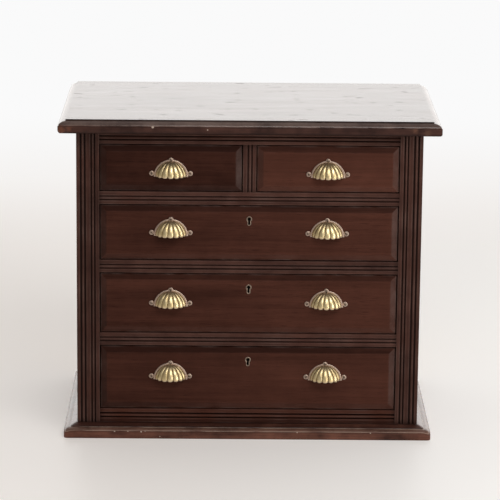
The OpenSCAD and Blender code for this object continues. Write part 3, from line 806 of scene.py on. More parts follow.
@dataclass(frozen=True)
class MouldedBoard:
    """A top or base board with a moulded edge round its front and both ends.

    Attributes:
        node: the CAD node it stands for.
        edge: its moulding.
        finish: its finish's key.
        seed: seed of its wear.
        corner: radius of its corners seen from above.
        wobble: how far worn arrises wander inwards.
        droop: how far the lower arris is knocked in at the left end.
        round_sheen: strength of the painted sheen on the round.
        underside_dark: how much darker the board grows towards its underside.
        tone, ledge_shade: tone of the board, and the painted shade that darkens the ledge above the moulding
            at the front.
        cap_inset: width of the flat rings on the underside and the top.
        nicks: depth of the nicks in the arrises on the right.
        corner_drop: how far the upper arris is worn down at the two corners.
        side_points: points along the front and along each end.
        droop_span, nick_span: from where to where along X the droop and the nicks set in.
    """

    node: str
    edge: Edge
    finish: str
    seed: int
    corner: float = 1.6
    wobble: float = 0.25
    droop: float = 0.0
    round_sheen: float = 0.0
    underside_dark: float = 0.0
    tone: float = 0.0
    ledge_shade: float = 0.0
    cap_inset: float = 6.0
    nicks: float = 0.0
    corner_drop: float = 0.0
    side_points: tuple[int, int] = (150, 30)
    droop_span: tuple[float, float] = (-120.0, -240.0)
    nick_span: tuple[float, float] = (20.0, 140.0)

    def shell(self) -> Shell:
        """Rings of the board from its underside up over the moulding to its top.

        Returns:
            The loft. Each ring is the board's outline drawn in by the profile's inset, except at
            the back, which stays flush. Worn arrises wander by a soft noise along the outline,
            and are knocked in by droop, nicks and corner_drop.
        """
        box = Limits.of(self.node)
        corners = [(self.cap_inset + 2, 0.0), *self.edge.corners]
        corners.append((corners[-1][0] + self.cap_inset, corners[-1][1]))
        profile = Profile.of(corners, step=0.2, radius=0.28)
        inset, height = profile.line[:, 0], profile.line[:, 1:]
        relief = {key: value[:, None] for key, value in profile.values(9.0, 6.0).items()}
        rings = rectangle(box.low[0] + inset, box.high[0] - inset, box.low[1] + inset,
                          np.full(len(inset), box.high[1]), *self.side_points,
                          radius=self.corner, turn=5)
        x, y = rings[..., 0], rings[..., 1]
        along = x + 0.7 * y
        middle, half = (box.low[0] + box.high[0]) / 2, (box.high[0] - box.low[0]) / 2
        ends = np.abs(x - middle) > half - inset[:, None] - 1
        front = y < box.low[1] + inset[:, None] + 1
        nick = np.clip(smooth_noise(along, self.seed + 5, 9) - 0.35, 0, 1)
        nick = nick * ramp(x, *self.nick_span) * relief["wear"]
        wander = self.wobble * relief["wear"] * (0.5 + 0.5 * smooth_noise(along, self.seed, 23))
        sag = self.droop * ramp(x, *self.droop_span) ** 1.5 * ramp(height, 4, 0)
        shift = wander + sag + self.nicks * nick
        from_back = np.minimum(box.high[1] - y, 30) / 30
        x = x + np.where(ends, np.sign(middle - x) * shift * from_back, 0)
        y = y + np.where(front, shift, 0)
        from_corner = np.hypot(half - np.abs(x - middle), y - box.low[1])
        dip = self.corner_drop * np.exp(-((from_corner / 6) ** 2)) * ramp(height, 4, 9)
        points = np.stack([x, y, box.low[2] + height - dip], axis=-1)
        # Painted reflection: the mouldings near both ends are made lighter, as if they caught the pale floor
        # and wall.
        tips = ramp(np.abs(x - middle) / half, 0.9, 1.0)
        values = self.finish_values(height, relief, along, ends, nick, tips)
        return loft(points, values=values).with_value("board", self.seed * 0.37)

    def finish_values(self, height: np.ndarray, relief: dict[str, np.ndarray], along: np.ndarray,
                      ends: np.ndarray, nick: np.ndarray, tips: np.ndarray) -> dict[str, np.ndarray]:
        """Wear, painted sheen and shade, polish and tone of every point.

        Args:
            height: height of each ring in the section.
            relief: wear, and darkening in hollows, of each ring.
            along: place of each point along the outline.
            ends: whether a point is on the left or right end.
            nick: depth of the nicks, 0 to 1.
            tips: 1 at the far left and right, 0 over the rest.

        Returns:
            Attributes by name. Wear follows the arrises, with a painted sheen on the round;
            painted shade darkens the fillet, more at the front than at the ends, and the ledge at the front;
            a painted reflection lightens the mouldings at both ends, and the board darkens towards its
            underside.
        """
        edge = self.edge
        sunk = band(height, *edge.fillet, 0.3)
        share = np.interp(height, *np.array(edge.wear).T)
        worn = relief["wear"] * share * (0.8 + 0.5 * smooth_noise(along, self.seed + 1, 40))
        # Painted sheen: the round is paled towards the worn colour as if it reflected the light.
        worn = worn + self.round_sheen * band(height, *edge.round_sheen, 0.8) - 0.8 * nick * (self.nicks > 0)
        flat = (height > edge.gloss_from) | (ends & (height > edge.gloss_from - 2))
        # Painted shade: the upright fillet is darkened, more at the front than at the ends.
        soil_and_shade = np.clip(relief["grime"] * (0.25 + 0.75 * sunk) + edge.soil_and_shade * sunk, 0, 1)
        soil_and_shade = np.where(ends, 0.3, 1.0) * soil_and_shade + self.underside_dark * ramp(height, 3.5, 0)
        # The painted shade in the fillet also lowers the tone and thins the polish there.
        dark = edge.soil_and_shade * np.where(ends, 0.2, 1.0) * sunk
        # Painted shade: the ledge above the moulding is darkened along the front.
        ledge = self.ledge_shade * (~ends & (height > edge.fillet[1]))
        return {"wear": np.clip(worn, 0, 1), "gloss": flat * (1 - 1.4 * dark),
                "tone": self.tone + tips * ~flat * 0.9 - dark + ledge, "grime": np.clip(soil_and_shade, 0, 1)}

    def build(self, builder: Builder) -> None:
        """Makes the piece."""
        builder.piece(self.node + "_look", self.shell(), "carcass", [self.node], self.finish)


class Cut(Enum):
    """The shape of one strip of a reeded face."""

    FLAT = 0
    GROOVE = 1
    BEAD = 2


RAIL_CUTS = (Cut.FLAT, Cut.GROOVE, Cut.BEAD, Cut.GROOVE, Cut.FLAT)
STILE_CUTS = RAIL_CUTS + RAIL_CUTS[1:]


@dataclass(frozen=True)
class ReededBoard:
    """A rail or upright whose front face is worked with grooves and beads.

    Attributes:
        node: the CAD node it stands for.
        cuts, widths: the strips of its face, and how wide each is next to the others.
        upright: whether it stands instead of lying.
        finish: its finish's key.
        seed: seed of its wear.
        tone, last_shade: tone of the board, and the painted shade that darkens its last strip.
        groove: depth of the grooves.
        bead_drop: how far a bead falls away at its sides.
        wear, hollow_dark_gain: strength of the wear, and how much darker the grooves get.
        station: about how far apart the sections are.
        flip: whether the strips of an upright run from right to left.
        length: where it starts and ends along its axis, if not at the node's ends.
        bolt: the lock bolt that slides up into it, if any.
    """

    node: str
    cuts: Sequence[Cut]
    widths: Sequence[float]
    upright: bool
    finish: str
    seed: int
    tone: float = 0.0
    groove: float = 1.6
    bead_drop: float = 0.55
    wear: float = 0.35
    hollow_dark_gain: float = 3.5
    last_shade: float = 0.0
    station: float = 6.0
    flip: bool = False
    length: tuple[float, float] | None = None
    bolt: str | None = None

    def face(self, total: float) -> list[tuple[float, float]]:
        """Corners of the face: grooves, and beads that are parabolas as high as the flats.

        Args:
            total: width of the face.

        Returns:
            The corners as (across, depth).
        """
        k = total / sum(self.widths)
        corners: list[tuple[float, float]] = []
        t = 0.0
        for cut, width in zip(self.cuts, self.widths):
            w = k * width
            if cut is Cut.FLAT:
                corners += [(t, 0.0), (t + w, 0.0)]
            elif cut is Cut.GROOVE:
                corners += [(t + 0.35 * w, self.groove), (t + 0.65 * w, self.groove)]
            else:
                u = np.linspace(-1, 1, 9)
                corners += [(t + w / 2 * (1 + a), self.bead_drop * a * a) for a in u]
            t += w
        return corners

    def shell(self) -> Shell:
        """Sweeps the section along the board.

        Returns:
            The loft of sections from end to end. The section is the softened face with straight
            sides; it drifts a few hundredths of a millimetre along the board as planed wood does.
        """
        box = Limits.of(self.node)
        axis = 2 if self.upright else 0
        across = 0 if self.upright else 2
        low, high = box.low.copy(), box.high.copy()
        if self.length is not None:
            low[axis], high[axis] = self.length
        total = high[across] - low[across]
        depth = high[1] - low[1]
        face = self.face(total)
        profile = Profile.of([(0, depth), *face, (total, depth)], step=0.2, radius=0.34)
        values = profile.values(5.0, self.hollow_dark_gain)
        line = profile.line
        t = np.linspace(low[axis], high[axis], int((high[axis] - low[axis]) / self.station) + 2)
        drift = 0.05 * smooth_noise(t, self.seed, 70)[:, None] * (line[None, :, 1] < 3)
        spread = low[across] + line[None, :, 0]
        if not self.upright or self.flip:
            spread = low[across] + high[across] - spread
        points = np.zeros((len(t), len(line), 3))
        points[..., axis] = t[:, None]
        points[..., across] = spread
        points[..., 1] = low[1] + line[None, :, 1] + np.abs(drift)
        shared = {k: np.broadcast_to(v, (len(t), len(line))) for k, v in values.items()}
        ends = np.minimum(t - t[0], t[-1] - t)[:, None]
        shared["grime"] = np.clip(shared["grime"] + 0.5 * np.exp(-ends / 2.5), 0, 1)
        uneven = 0.7 + 0.5 * smooth_noise(t, self.seed + 1, 60)[:, None]
        shared["wear"] = self.wear * shared["wear"] * uneven
        last = line[:, 0] > total - self.widths[-1] * total / sum(self.widths)
        # Painted shade: the last strip, the bottom rail's lowest flat, is darkened as if shaded.
        shared["tone"] = np.broadcast_to(self.tone + self.last_shade * last, (len(t), len(line)))
        return loft(points, values=shared).with_value("board", self.seed * 0.53)

    def build(self, builder: Builder) -> None:
        """Makes the piece, with a slot for the bolt."""
        cuts = []
        if self.bolt is not None:
            slack = np.full(3, BOLT_SLACK)
            cuts.append(Limits.of(self.bolt).grown(slack, slack + (0, 0, BOLT_TRAVEL)))
        builder.piece(self.node + "_look", self.shell(), "carcass", [self.node], self.finish,
                      50, cuts)


def keyhole_outline(head: float, foot: float, drop: float, waist: float, count: int) -> np.ndarray:
    """A keyhole's outline about the middle of its round head, as (x, z).

    Args:
        head: radius of the head.
        foot: half width of the foot.
        drop: distance from the head's middle to the foot's middle.
        waist: half width between head and foot.
        count: number of points.

    Returns:
        Points evenly spaced along the outline, going round from the right side of the head.
    """
    lift = math.asin(min(1.0, waist / head))
    a = np.linspace(-math.pi / 2 + lift, 1.5 * math.pi - lift, 48)
    top = np.stack([head * np.cos(a), head * np.sin(a)], axis=1)
    b = np.linspace(math.pi, 2 * math.pi, 24)
    bottom = np.stack([foot * np.cos(b), -drop + foot * np.sin(b)], axis=1)
    ring = np.concatenate([top, bottom, top[:1]])
    lengths = np.concatenate([[0], np.cumsum(np.hypot(*np.diff(ring, axis=0).T))])
    t = np.linspace(0, lengths[-1], count, endpoint=False)
    return np.stack([np.interp(t, lengths, ring[:, k]) for k in range(2)], axis=1)


@dataclass(frozen=True)
class Keyhole:
    """A brass thread rim let into a drawer front, round a keyhole.

    Attributes:
        z: height of the middle of its round head.
        face: depth of the drawer's face.
        hole, rim: inner and outer outline, as keyhole_outline's head, foot, drop and waist.
        proud: how far the rim stands out of the face.
        depth: how far it goes into the wood.
        points: points round each outline.
        middle: the place between head and foot that directions are measured from.
    """

    z: float
    face: float
    hole: tuple[float, float, float, float] = (1.95, 1.15, 6.0, 0.85)
    rim: tuple[float, float, float, float] = (4.1, 2.8, 6.3, 2.6)
    proud: float = 0.45
    depth: float = 3.0
    points: int = 96
    middle: tuple[float, float] = (0.0, -3.0)

    def rim_shell(self) -> Shell:
        """The rim: rings from its buried outside over a rounded face and down into the hole."""
        inner, outer = (keyhole_outline(*o, self.points) for o in (self.hole, self.rim))
        t = np.linspace(0, 1, 9)
        over = outer[None] + (inner - outer)[None] * (0.02 + 0.96 * t)[:, None, None]
        y = self.face + 0.25 - (self.proud + 0.25) * np.sin(math.pi * t) ** 0.7
        rings = np.concatenate([outer[None], over, inner[None]])
        depths = np.concatenate([[self.face + self.depth], y, [self.face + self.depth]])
        points = np.stack([rings[..., 0], np.broadcast_to(depths[:, None], rings.shape[:2]),
                           rings[..., 1] + self.z], axis=-1)
        grime = np.concatenate([[1], 1 - np.sin(math.pi * t) ** 0.5, [1]])
        return loft(points, wrap=True, values={"grime": grime})

    def cut_ring(self, angles: np.ndarray, spread: float = 0.5) -> np.ndarray:
        """The hole in the wood, an outline between those of the rim and of the keyhole.

        Args:
            angles: directions from middle.
            spread: 0 for the keyhole's outline, 1 for the rim's.

        Returns:
            A point in each direction, as (x, z) about the middle of the head.
        """
        ring = keyhole_outline(*self.hole, 400) * (1 - spread) + keyhole_outline(*self.rim, 400) * spread
        middle = np.array(self.middle)
        rel = ring - middle
        a = np.arctan2(rel[:, 1], rel[:, 0])
        order = np.argsort(a)
        radius = np.interp(angles, a[order], np.hypot(*rel[order].T), period=2 * math.pi)
        return middle + np.stack([radius * np.cos(angles), radius * np.sin(angles)], axis=1)


@dataclass(frozen=True)
class DrawerFront:
    """A drawer front with a bevelled border.

    Attributes:
        node, body: the CAD node it stands for and the body it rides on.
        seed: seed of its wear.
        tone: tone of the board.
        keyhole, lock: its keyhole and the CAD node of its lock case, if any.
        bevel, drop: width of the bevel, and how far it falls back.
        end_inset: play at each end.
        edge_wear, field_wear: strength of wear on the outer arris and on the field's.
        drift: how much lighter the right end is than the middle, a painted light falling from the right.
        lock_plate: how far the lock case laps over the wood beside and below the mortise.
        bevel_shade, bevel_sheen: painted shade and painted sheen on the left, right, bottom and top bevel.
    """

    node: str
    body: str
    seed: int
    tone: float
    keyhole: Keyhole | None
    lock: str | None
    bevel: float = 8.3
    drop: float = 3.0
    end_inset: float = 0.12
    edge_wear: float = 0.5
    field_wear: float = 0.06
    drift: float = 0.35
    lock_plate: float = 3.0
    bevel_shade: tuple[float, float, float, float] = (-0.7, -0.4, 0.0, -1.1)
    bevel_sheen: tuple[float, float, float, float] = (0.16, 0.55, 0.14, 0.0)

    def shell(self) -> Shell:
        """Rings from the back of the front round its edge and up the bevel to the field.

        Returns:
            The loft. The profile runs (inset, depth) from the back, so a mitre forms at each
            corner. With a keyhole the rings go on to the hole and back through the board, so the
            surface stays closed.
        """
        box = Limits.of(self.node)
        low, high = box.low.copy(), box.high.copy()
        low[0] += self.end_inset
        high[0] -= self.end_inset
        depth = high[1] - low[1]
        corners = [(5, depth), (0, depth), (0, self.drop), (self.bevel, 0.0), (self.bevel + 6, 0.0)]
        profile = Profile.of(corners, step=0.3, radius=0.3)
        inset, sink = profile.line[:, 0], profile.line[:, 1]
        values = profile.values(6.0, 4.0)
        unseen = ramp(sink, self.drop + 0.6, self.drop + 0.9)
        values["grime"] = np.clip(0.5 * values["grime"] + 0.6 * unseen * (inset < 0.5), 0, 1)
        values["wear"] = values["wear"] * np.where(sink > 0.5 * self.drop, self.edge_wear, self.field_wear)
        nx, ny = (int((high[k] - low[k]) / 4) for k in (0, 2))
        rings = rectangle(low[0] + inset, high[0] - inset, low[2] + inset, high[2] - inset, nx, ny,
                          radius=0.25)
        along = rings[..., 0] + 1.3 * rings[..., 1]
        worn = values["wear"][:, None] * (0.8 + 0.6 * smooth_noise(along, self.seed, 30))
        y = low[1] + sink[:, None] + 0.12 * np.clip(worn, 0, 1)
        points = np.stack([rings[..., 0], y, rings[..., 1]], axis=-1)
        # Painted sheen: the bevels, the right one most, are paled towards the worn colour as if they caught
        # the window light.
        wear_and_sheen_share = self.pick(rings, low, high, self.bevel_sheen) * (sink < self.drop)[:, None]
        bare = 1.4 * (unseen * (inset >= 0.5))[:, None]
        spread = {"wear": np.clip(worn + wear_and_sheen_share, 0, 1), "tone": self.shade(rings, low, high) + bare,
                  "grime": np.broadcast_to(values["grime"][:, None], worn.shape)}
        if self.keyhole is None:
            shell = loft(points, values=spread)
        else:
            head = np.array([0.0, self.keyhole.z])
            rel = points[-1][:, [0, 2]] - head - self.keyhole.middle
            hole = self.keyhole.cut_ring(np.arctan2(rel[:, 1], rel[:, 0])) + head
            front = np.stack([hole[:, 0], np.full(len(hole), low[1]), hole[:, 1]], axis=1)
            back = front.copy()
            back[:, 1] = high[1]
            points = np.concatenate([points, front[None], back[None]])
            for key in spread:
                spread[key] = np.concatenate([spread[key], spread[key][-1:], spread[key][-1:]])
            shell = loft(points, wrap=True, values=spread)
        return shell.with_value("board", self.seed * 0.71)

    def pick(self, rings: np.ndarray, low: np.ndarray, high: np.ndarray,
             values: Sequence[float]) -> np.ndarray:
        """One of four values on each bevel, fading to 0 at the field.

        Args:
            rings: points as (x, z).
            low, high: limits of the front.
            values: the values of the left, right, bottom and top bevel.

        Returns:
            A number for each point: the value of the nearest side.
        """
        gaps = np.stack([rings[..., 0] - low[0], high[0] - rings[..., 0],
                         rings[..., 1] - low[2], high[2] - rings[..., 1]])
        border = ramp(gaps.min(0), self.bevel, self.bevel - 1.6)
        return border * np.array(values)[gaps.argmin(0)]

    def shade(self, rings: np.ndarray, low: np.ndarray, high: np.ndarray) -> np.ndarray:
        """Tone of every point: painted light that makes it lighter to the right, and painted shade that
        darkens the bevels, the top one most.
        """
        lighter = self.drift * rings[..., 0] / 190
        return self.tone + lighter + self.pick(rings, low, high, self.bevel_shade)

    def build(self, builder: Builder) -> None:
        """Makes the piece, with a mortise for the lock."""
        cuts = []
        if self.lock is not None:
            side, over = -self.lock_plate, 5.0
            cuts.append(Limits.of(self.lock).grown((side, 0, side), (side, over, over)))
        builder.piece(self.node + "_look", self.shell(), self.body, [self.node], "front",
                      cuts=cuts)


def lathe(profile: Sequence[tuple[float, float]], count: int = 40) -> Shell:
    """A round turned about the y direction, capped at both ends.

    Args:
        profile: corners as (radius, y), which are softened.
        count: points round each ring.

    Returns:
        The loft of a ring for each point of the softened profile.
    """
    line = blurred(resample(np.asarray(profile, float), 0.12), 1.4)
    a = np.linspace(0, 2 * math.pi, count, endpoint=False)
    radius = np.maximum(line[:, 0], 0.05)
    points = np.stack([radius[:, None] * np.cos(a), np.broadcast_to(line[:, 1:2], (len(line), count)),
                       radius[:, None] * np.sin(a)], axis=-1)
    return loft(points)


@dataclass(frozen=True)
class CupPull:
    """A fluted brass cup pull about the middle of its lower edge, on a drawer's face.

    Attributes:
        radius, reach: radius of the dome, and its depth as a share of that.
        setback: how far behind the face the dome's middle is.
        wall: thickness of the cup.
        flutes, flute_share: number of flutes, and their depth as a share of their width.
        scallop, tip: how far the mouth is scalloped and turned in.
        rim_in, rim_out: inner and outer radius of the flange.
        lug_radius, lug_thickness: size of the lugs.
        side_lug, top_lug: place of the right lug and of the top one, as (x, z).
        top_screw_lift: how far above the middle of its lug the top screw is.
        rows, cols: points from the arch to the mouth and across.
    """

    radius: float = 20.2
    reach: float = 0.83
    setback: float = 1.2
    wall: float = 1.1
    flutes: int = 7
    flute_share: float = 0.40
    scallop: float = 1.5
    tip: float = 1.1
    rim_in: float = 19.0
    rim_out: float = 21.8
    lug_radius: float = 3.3
    lug_thickness: float = 1.5
    side_lug: tuple[float, float] = (24.3, 4.3)
    top_lug: tuple[float, float] = (0.0, 21.3)
    top_screw_lift: float = 0.3
    rows: int = 60
    cols: int = 169

    def dome(self) -> Shell:
        """The cup: a fluted skin outside, a smooth one inside, joined along the mouth.

        Returns:
            A closed tube of sections. With t from the top of the arch (0) to the mouth (1) and s
            across (-1 to 1), the polar angle goes from where the dome leaves the drawer's face to
            a right angle, and the azimuth is s times the angle at which the dome meets the face.
            The radius drops into a groove between flutes by a share of the flute's own width.
            Flutes are arcs, sqrt(1 - x^2) across each one; they fade out under the top lug and
            turn in at their tips. The dome is a sphere pressed in by reach towards the face.
        """
        start = math.asin(self.setback / self.reach / self.radius) + 0.035
        u = np.linspace(0, 1, self.rows)[:, None]
        t = u * (1.55 - 0.55 * u)
        s = np.linspace(-1, 1, self.cols)[None, :]
        x = (s * self.flutes + 1) % 2 - 1
        crest = np.sqrt(np.clip(1 - (0.96 * x) ** 2, 0, 1))
        crest = (crest - crest.min()) / (crest.max() - crest.min())
        mouth = math.pi / 2 - self.scallop / self.radius * (1 - crest)
        theta = start + (mouth - start) * t
        ring = np.sin(theta)
        half = np.arccos(np.clip(self.setback / (self.reach * self.radius * ring), 0, 1))
        phi = half * s
        fade = ramp(theta, start, start + 0.75)
        fade = fade * fade * (3 - 2 * fade) * ramp(np.abs(s), 1.02, 0.94)
        sink = self.flute_share * self.radius * ring * half / self.flutes * (1 - crest)
        turned = ramp(t, 0.9, 1.0)
        r = self.radius - sink * fade - self.tip * (1 - np.sqrt(1 - 0.96 * turned ** 2))

        def place(rad: np.ndarray) -> np.ndarray:
            """Points of the skin at that radius, kept in front of the face."""
            return np.stack([rad * ring * np.sin(phi),
                             np.minimum(self.setback - self.reach * rad * ring * np.cos(phi), 0.0),
                             rad * np.cos(theta)], axis=-1)

        points = np.concatenate([place(r), place(r - self.wall)[::-1]])
        rows, cols = points.shape[:2]
        quads = grid_quads(rows, cols, True, False)
        n = self.rows
        i = np.arange(n - 1)
        back = 2 * n - 1 - i
        sides = [np.stack([i * cols + c, (i + 1) * cols + c, (back - 1) * cols + c, back * cols + c], axis=1)
                 for c in (0, cols - 1)]
        valley = (1 - crest) ** 1.3 * (0.35 + 0.65 * fade)
        crown = 0.3 * np.exp(-((theta - start) / 0.42) ** 2)
        inside = np.ones((n, cols))
        grime = np.concatenate([np.clip(valley + crown, 0, 1) * inside, 0.9 * inside])
        tips = np.concatenate([np.maximum(turned * 0.7, 2.2 * crown) * inside, inside])
        return Shell(points.reshape(-1, 3), np.concatenate([quads, *sides]), [],
                     {"grime": grime.reshape(-1), "tarnish": tips.reshape(-1)})

    def rim(self) -> Shell:
        """The thin flange round the arch: a strip with a rounded edge, swept through half a circle."""
        a = np.linspace(0.0, math.pi, 90)
        inner, outer = self.rim_in, self.rim_out
        section = np.array([(inner, 0.0), (inner, -0.9), (inner + 1.7, -1.1), (outer - 0.5, -0.95),
                            (outer, -0.45), (outer, 0.0)])
        points = np.stack([section[None, :, 0] * np.cos(a)[:, None],
                           np.broadcast_to(section[None, :, 1], (len(a), len(section))),
                           section[None, :, 0] * np.sin(a)[:, None]], axis=-1)
        return loft(points, values={"grime": np.full(len(a), 0.1), "tarnish": np.ones(len(a))})

    def lug(self, x: float, z: float) -> Shell:
        """A round lug with a softly domed face."""
        r, h = self.lug_radius, self.lug_thickness
        disc = lathe([(0.05, 0.0), (r, 0.0), (r, -h * 0.55), (r * 0.75, -h), (0.05, -h)])
        return disc.moved((x, 0, z)).with_value("tarnish", 1.0)

    def shell(self) -> Shell:
        """Cup, rim and the three lugs together."""
        (sx, sz), (tx, tz) = self.side_lug, self.top_lug
        lugs = [self.lug(-sx, sz), self.lug(sx, sz), self.lug(tx, tz)]
        return Shell.joined([self.dome(), self.rim(), *lugs])

    def screw(self, x: float, z: float, turn: float) -> Shell:
        """A domed screw head with a slot: discs of growing radius whose depth dips along the slot.

        Args:
            x, z: its place.
            turn: direction of the slot, in radians.

        Returns:
            The head and the start of its shank.
        """
        rings, count = 26, 64
        head, rise, top = 1.75, 0.85, -self.lug_thickness
        rho = np.linspace(0.03, head, rings)[:, None]
        a = np.linspace(0, 2 * math.pi, count, endpoint=False)[None, :]
        across = rho * np.sin(a - turn)
        dome = rise * np.sqrt(np.clip(1 - (rho / (head * 1.02)) ** 2, 0, 1))
        slot = 1 / (1 + np.exp((np.abs(across) - 0.26) / 0.035))
        y = top - dome * (1 - 0.85 * slot) - 0.05 * (1 - slot)
        face = np.stack([rho * np.cos(a), y, rho * np.sin(a)], axis=-1)
        foot = face[-1:].copy()
        foot[..., 1] = top + 0.6
        return loft(np.concatenate([face, foot]),
                    values={"grime": np.concatenate([slot, np.full((1, count), 0.8)])}).moved((x, 0, z))

    def screws(self, seed: int) -> Shell:
        """The three screws, their slots turned at random."""
        turns = np.random.default_rng(seed).uniform(0, math.pi, 3)
        (sx, sz), (tx, tz) = self.side_lug, self.top_lug
        spots = [(-sx, sz), (sx, sz), (tx, tz + self.top_screw_lift)]
        return Shell.joined([self.screw(x, z, turn) for (x, z), turn in zip(spots, turns)])


@dataclass(frozen=True)
class Drawer:
    """One drawer with its pulls, keyhole and linings.

    Attributes:
        key: its name within the names of its CAD nodes.
        body: the body it rides on.
        centre: middle of its front along X.
        pull_offsets, pull_z: where its pulls are, from centre and from the floor.
        keyhole_z: height of its keyhole's head, if it has one.
        seed: seed of its wear.
        tone: tone of its front.
    """

    key: str
    body: str
    centre: float
    pull_offsets: Sequence[float]
    pull_z: float
    keyhole_z: float | None
    seed: int
    tone: float

    def build(self, builder: Builder, pull: CupPull) -> None:
        """Makes or dresses every piece of the drawer."""
        prefix = f"drawer_{self.key}_"
        face = Limits.of(prefix + "front").low[1]
        keyhole = None if self.keyhole_z is None else Keyhole(self.keyhole_z, face)
        lock = None if keyhole is None else prefix + "lock_case"
        DrawerFront(prefix + "front", self.body, self.seed, self.tone, keyhole, lock).build(builder)
        screws = []
        for k, offset in enumerate(self.pull_offsets):
            spot = (self.centre + offset, face, self.pull_z)
            node = prefix + "handle"
            if len(self.pull_offsets) > 1:
                node += "_left" if offset < 0 else "_right"
            builder.piece(node + "_look", pull.shell().moved(spot), self.body, [node], "brass")
            screws.append(pull.screws(self.seed * 10 + k).moved(spot))
        node = prefix + "handle_screws"
        builder.piece(node + "_look", Shell.joined(screws), self.body, [node], "dull_brass")
        if keyhole is not None:
            node = prefix + "escutcheon"
            builder.piece(node + "_look", keyhole.rim_shell(), self.body, [node], "dull_brass")
            builder.dress(prefix + "lock_case", "iron", "steel", 0.2)
            builder.dress(prefix + "lock_bolt", "steel", "steel", 0.2)
        builder.dress(prefix + "sides", "pine_y", "pine")
        builder.dress(prefix + "back", "pine_x", "pine")
        builder.dress(prefix + "bottom", "pine_x", "pine")


class Chest:
    """The whole chest."""

    def __init__(self, builder: Builder) -> None:
        """Takes the builder that makes the pieces."""
        self.builder = builder
        self.pull = CupPull()

    def top_edge(self) -> Edge:
        """Edge of the top board: eased arris, flat edge, small step, quarter round, upright fillet."""
        return Edge([(1.9, 0.0), (0.6, 0.8), (0.0, 2.4), (0.0, 9.8), (0.9, 10.1),
                     *Edge.arc(0.9, 8.2, 10.1, 5.2, 68), (9.6, 15.4), (9.6, 17.0)],
                    wear=[(0, 0.2), (4, 0.2), (9, 0.8), (10.5, 0.8), (11.5, 0.15), (17, 0.12)],
                    fillet=(15.3, 16.8), soil_and_shade=0.55, round_sheen=(10.4, 15.2), gloss_from=11.0)

    def base_edge(self) -> Edge:
        """Edge of the base board: flat edge, low round, upright fillet, and a rising ledge."""
        return Edge([(0.3, 0.0), (0.0, 0.4), (0.0, 9.4), (0.3, 9.85), (1.5, 9.8),
                     *Edge.arc(1.5, 6.5, 9.8, 2.9, 70), (8.2, 12.7), (8.2, 13.6), (15.4, 16.7)],
                    wear=[(0, 0.2), (7, 0.5), (9, 1.0), (10.5, 0.9), (12, 0.6), (17, 0.15)],
                    fillet=(12.7, 13.6), soil_and_shade=0.25, round_sheen=(9.9, 12.4), gloss_from=10.4)

    def carcass(self) -> None:
        """Boards, rails and uprights."""
        b = self.builder
        MouldedBoard("top_board", self.top_edge(), "top", 11, droop=1.6, round_sheen=0.58, underside_dark=0.5,
                     tone=-0.3, nicks=2.0).build(b)
        MouldedBoard("base_board", self.base_edge(), "base", 12, corner=4.5, round_sheen=0.15,
                     ledge_shade=-1.1, corner_drop=2.6).build(b)
        rail = (5.3, 2.2, 2.6, 2.3, 4.5)
        low_rail = (4.6, 3.4, 2, 3, 5)
        stile = (3.9, 3.1, 2.2, 3.0, 5.4, 2.2, 2.0, 2.5, 4.7)
        inner = Limits.of("stile_right").low[0]
        span = (-inner, inner)
        for k, key in enumerate((None, "upper", "middle", "lower")):
            name, bolt = ("top_rail", None) if key is None else (f"rail_{key}", f"drawer_{key}_lock_bolt")
            ReededBoard(name, RAIL_CUTS, rail, False, "rail", 20 + k, length=span, bolt=bolt).build(b)
        ReededBoard("bottom_rail", RAIL_CUTS, low_rail, False, "front", 25, tone=0.4,
                    last_shade=-1.4, length=span).build(b)
        for side, seed, tone in (("left", 30, -0.35), ("right", 31, -0.2)):
            ReededBoard(f"stile_{side}", STILE_CUTS, stile, True, "stile", seed, tone=tone,
                        flip=side == "right", hollow_dark_gain=8).build(b)
        between = (Limits.of("rail_upper").high[2], Limits.of("top_rail").low[2])
        ReededBoard("centre_divider", RAIL_CUTS, rail, True, "stile", 32, length=between).build(b)
        for name in ("side_panel_left", "side_panel_right"):
            b.dress(name, "panel", "mahogany", 0.5)
        b.dress("back_panel", "pine_x", "pine")
        b.dress("back_screws", "steel", "steel", 0.1)
        for name in ("drawer_runners", "drawer_guides", "kickers"):
            b.dress(name, "pine_y", "pine")
        b.dress("drawer_stops", "pine_x", "pine")

    def drawers(self) -> None:
        """All five drawers."""
        side = 99.0
        pair = (-side, side)
        for drawer in (
            Drawer("left", "short_drawer_left", -side, (0.0,), 340.2, None, 41, -0.7),
            Drawer("right", "short_drawer_right", side, (0.0,), 340.2, None, 42, 0.7),
            Drawer("upper", "upper_drawer", 0.0, pair, 263.7, 286.0, 43, 0.0),
            Drawer("middle", "middle_drawer", 0.0, pair, 171.6, 197.0, 44, 0.3),
            Drawer("lower", "lower_drawer", 0.0, pair, 75.0, 101.5, 45, -0.1),
        ):
            drawer.build(self.builder, self.pull)

    def build(self) -> None:
        """Builds everything."""
        self.carcass()
        self.drawers()


# ---- scene ------------------------------------------------------------------


def facing(right: np.ndarray, upward: np.ndarray, ahead: np.ndarray, place: Sequence[float]) -> Matrix:
    """Matrix of a camera or lamp at a place that looks ahead.

    Args:
        right, upward, ahead: its three directions, at right angles.
        place: where it is.

    Returns:
        The matrix, whose columns are right, upward, backward and the place.
    """
    columns = np.stack([right, upward, -ahead, np.asarray(place, float)], axis=1)
    return Matrix([*columns.tolist(), (0.0, 0.0, 0.0, 1.0)])


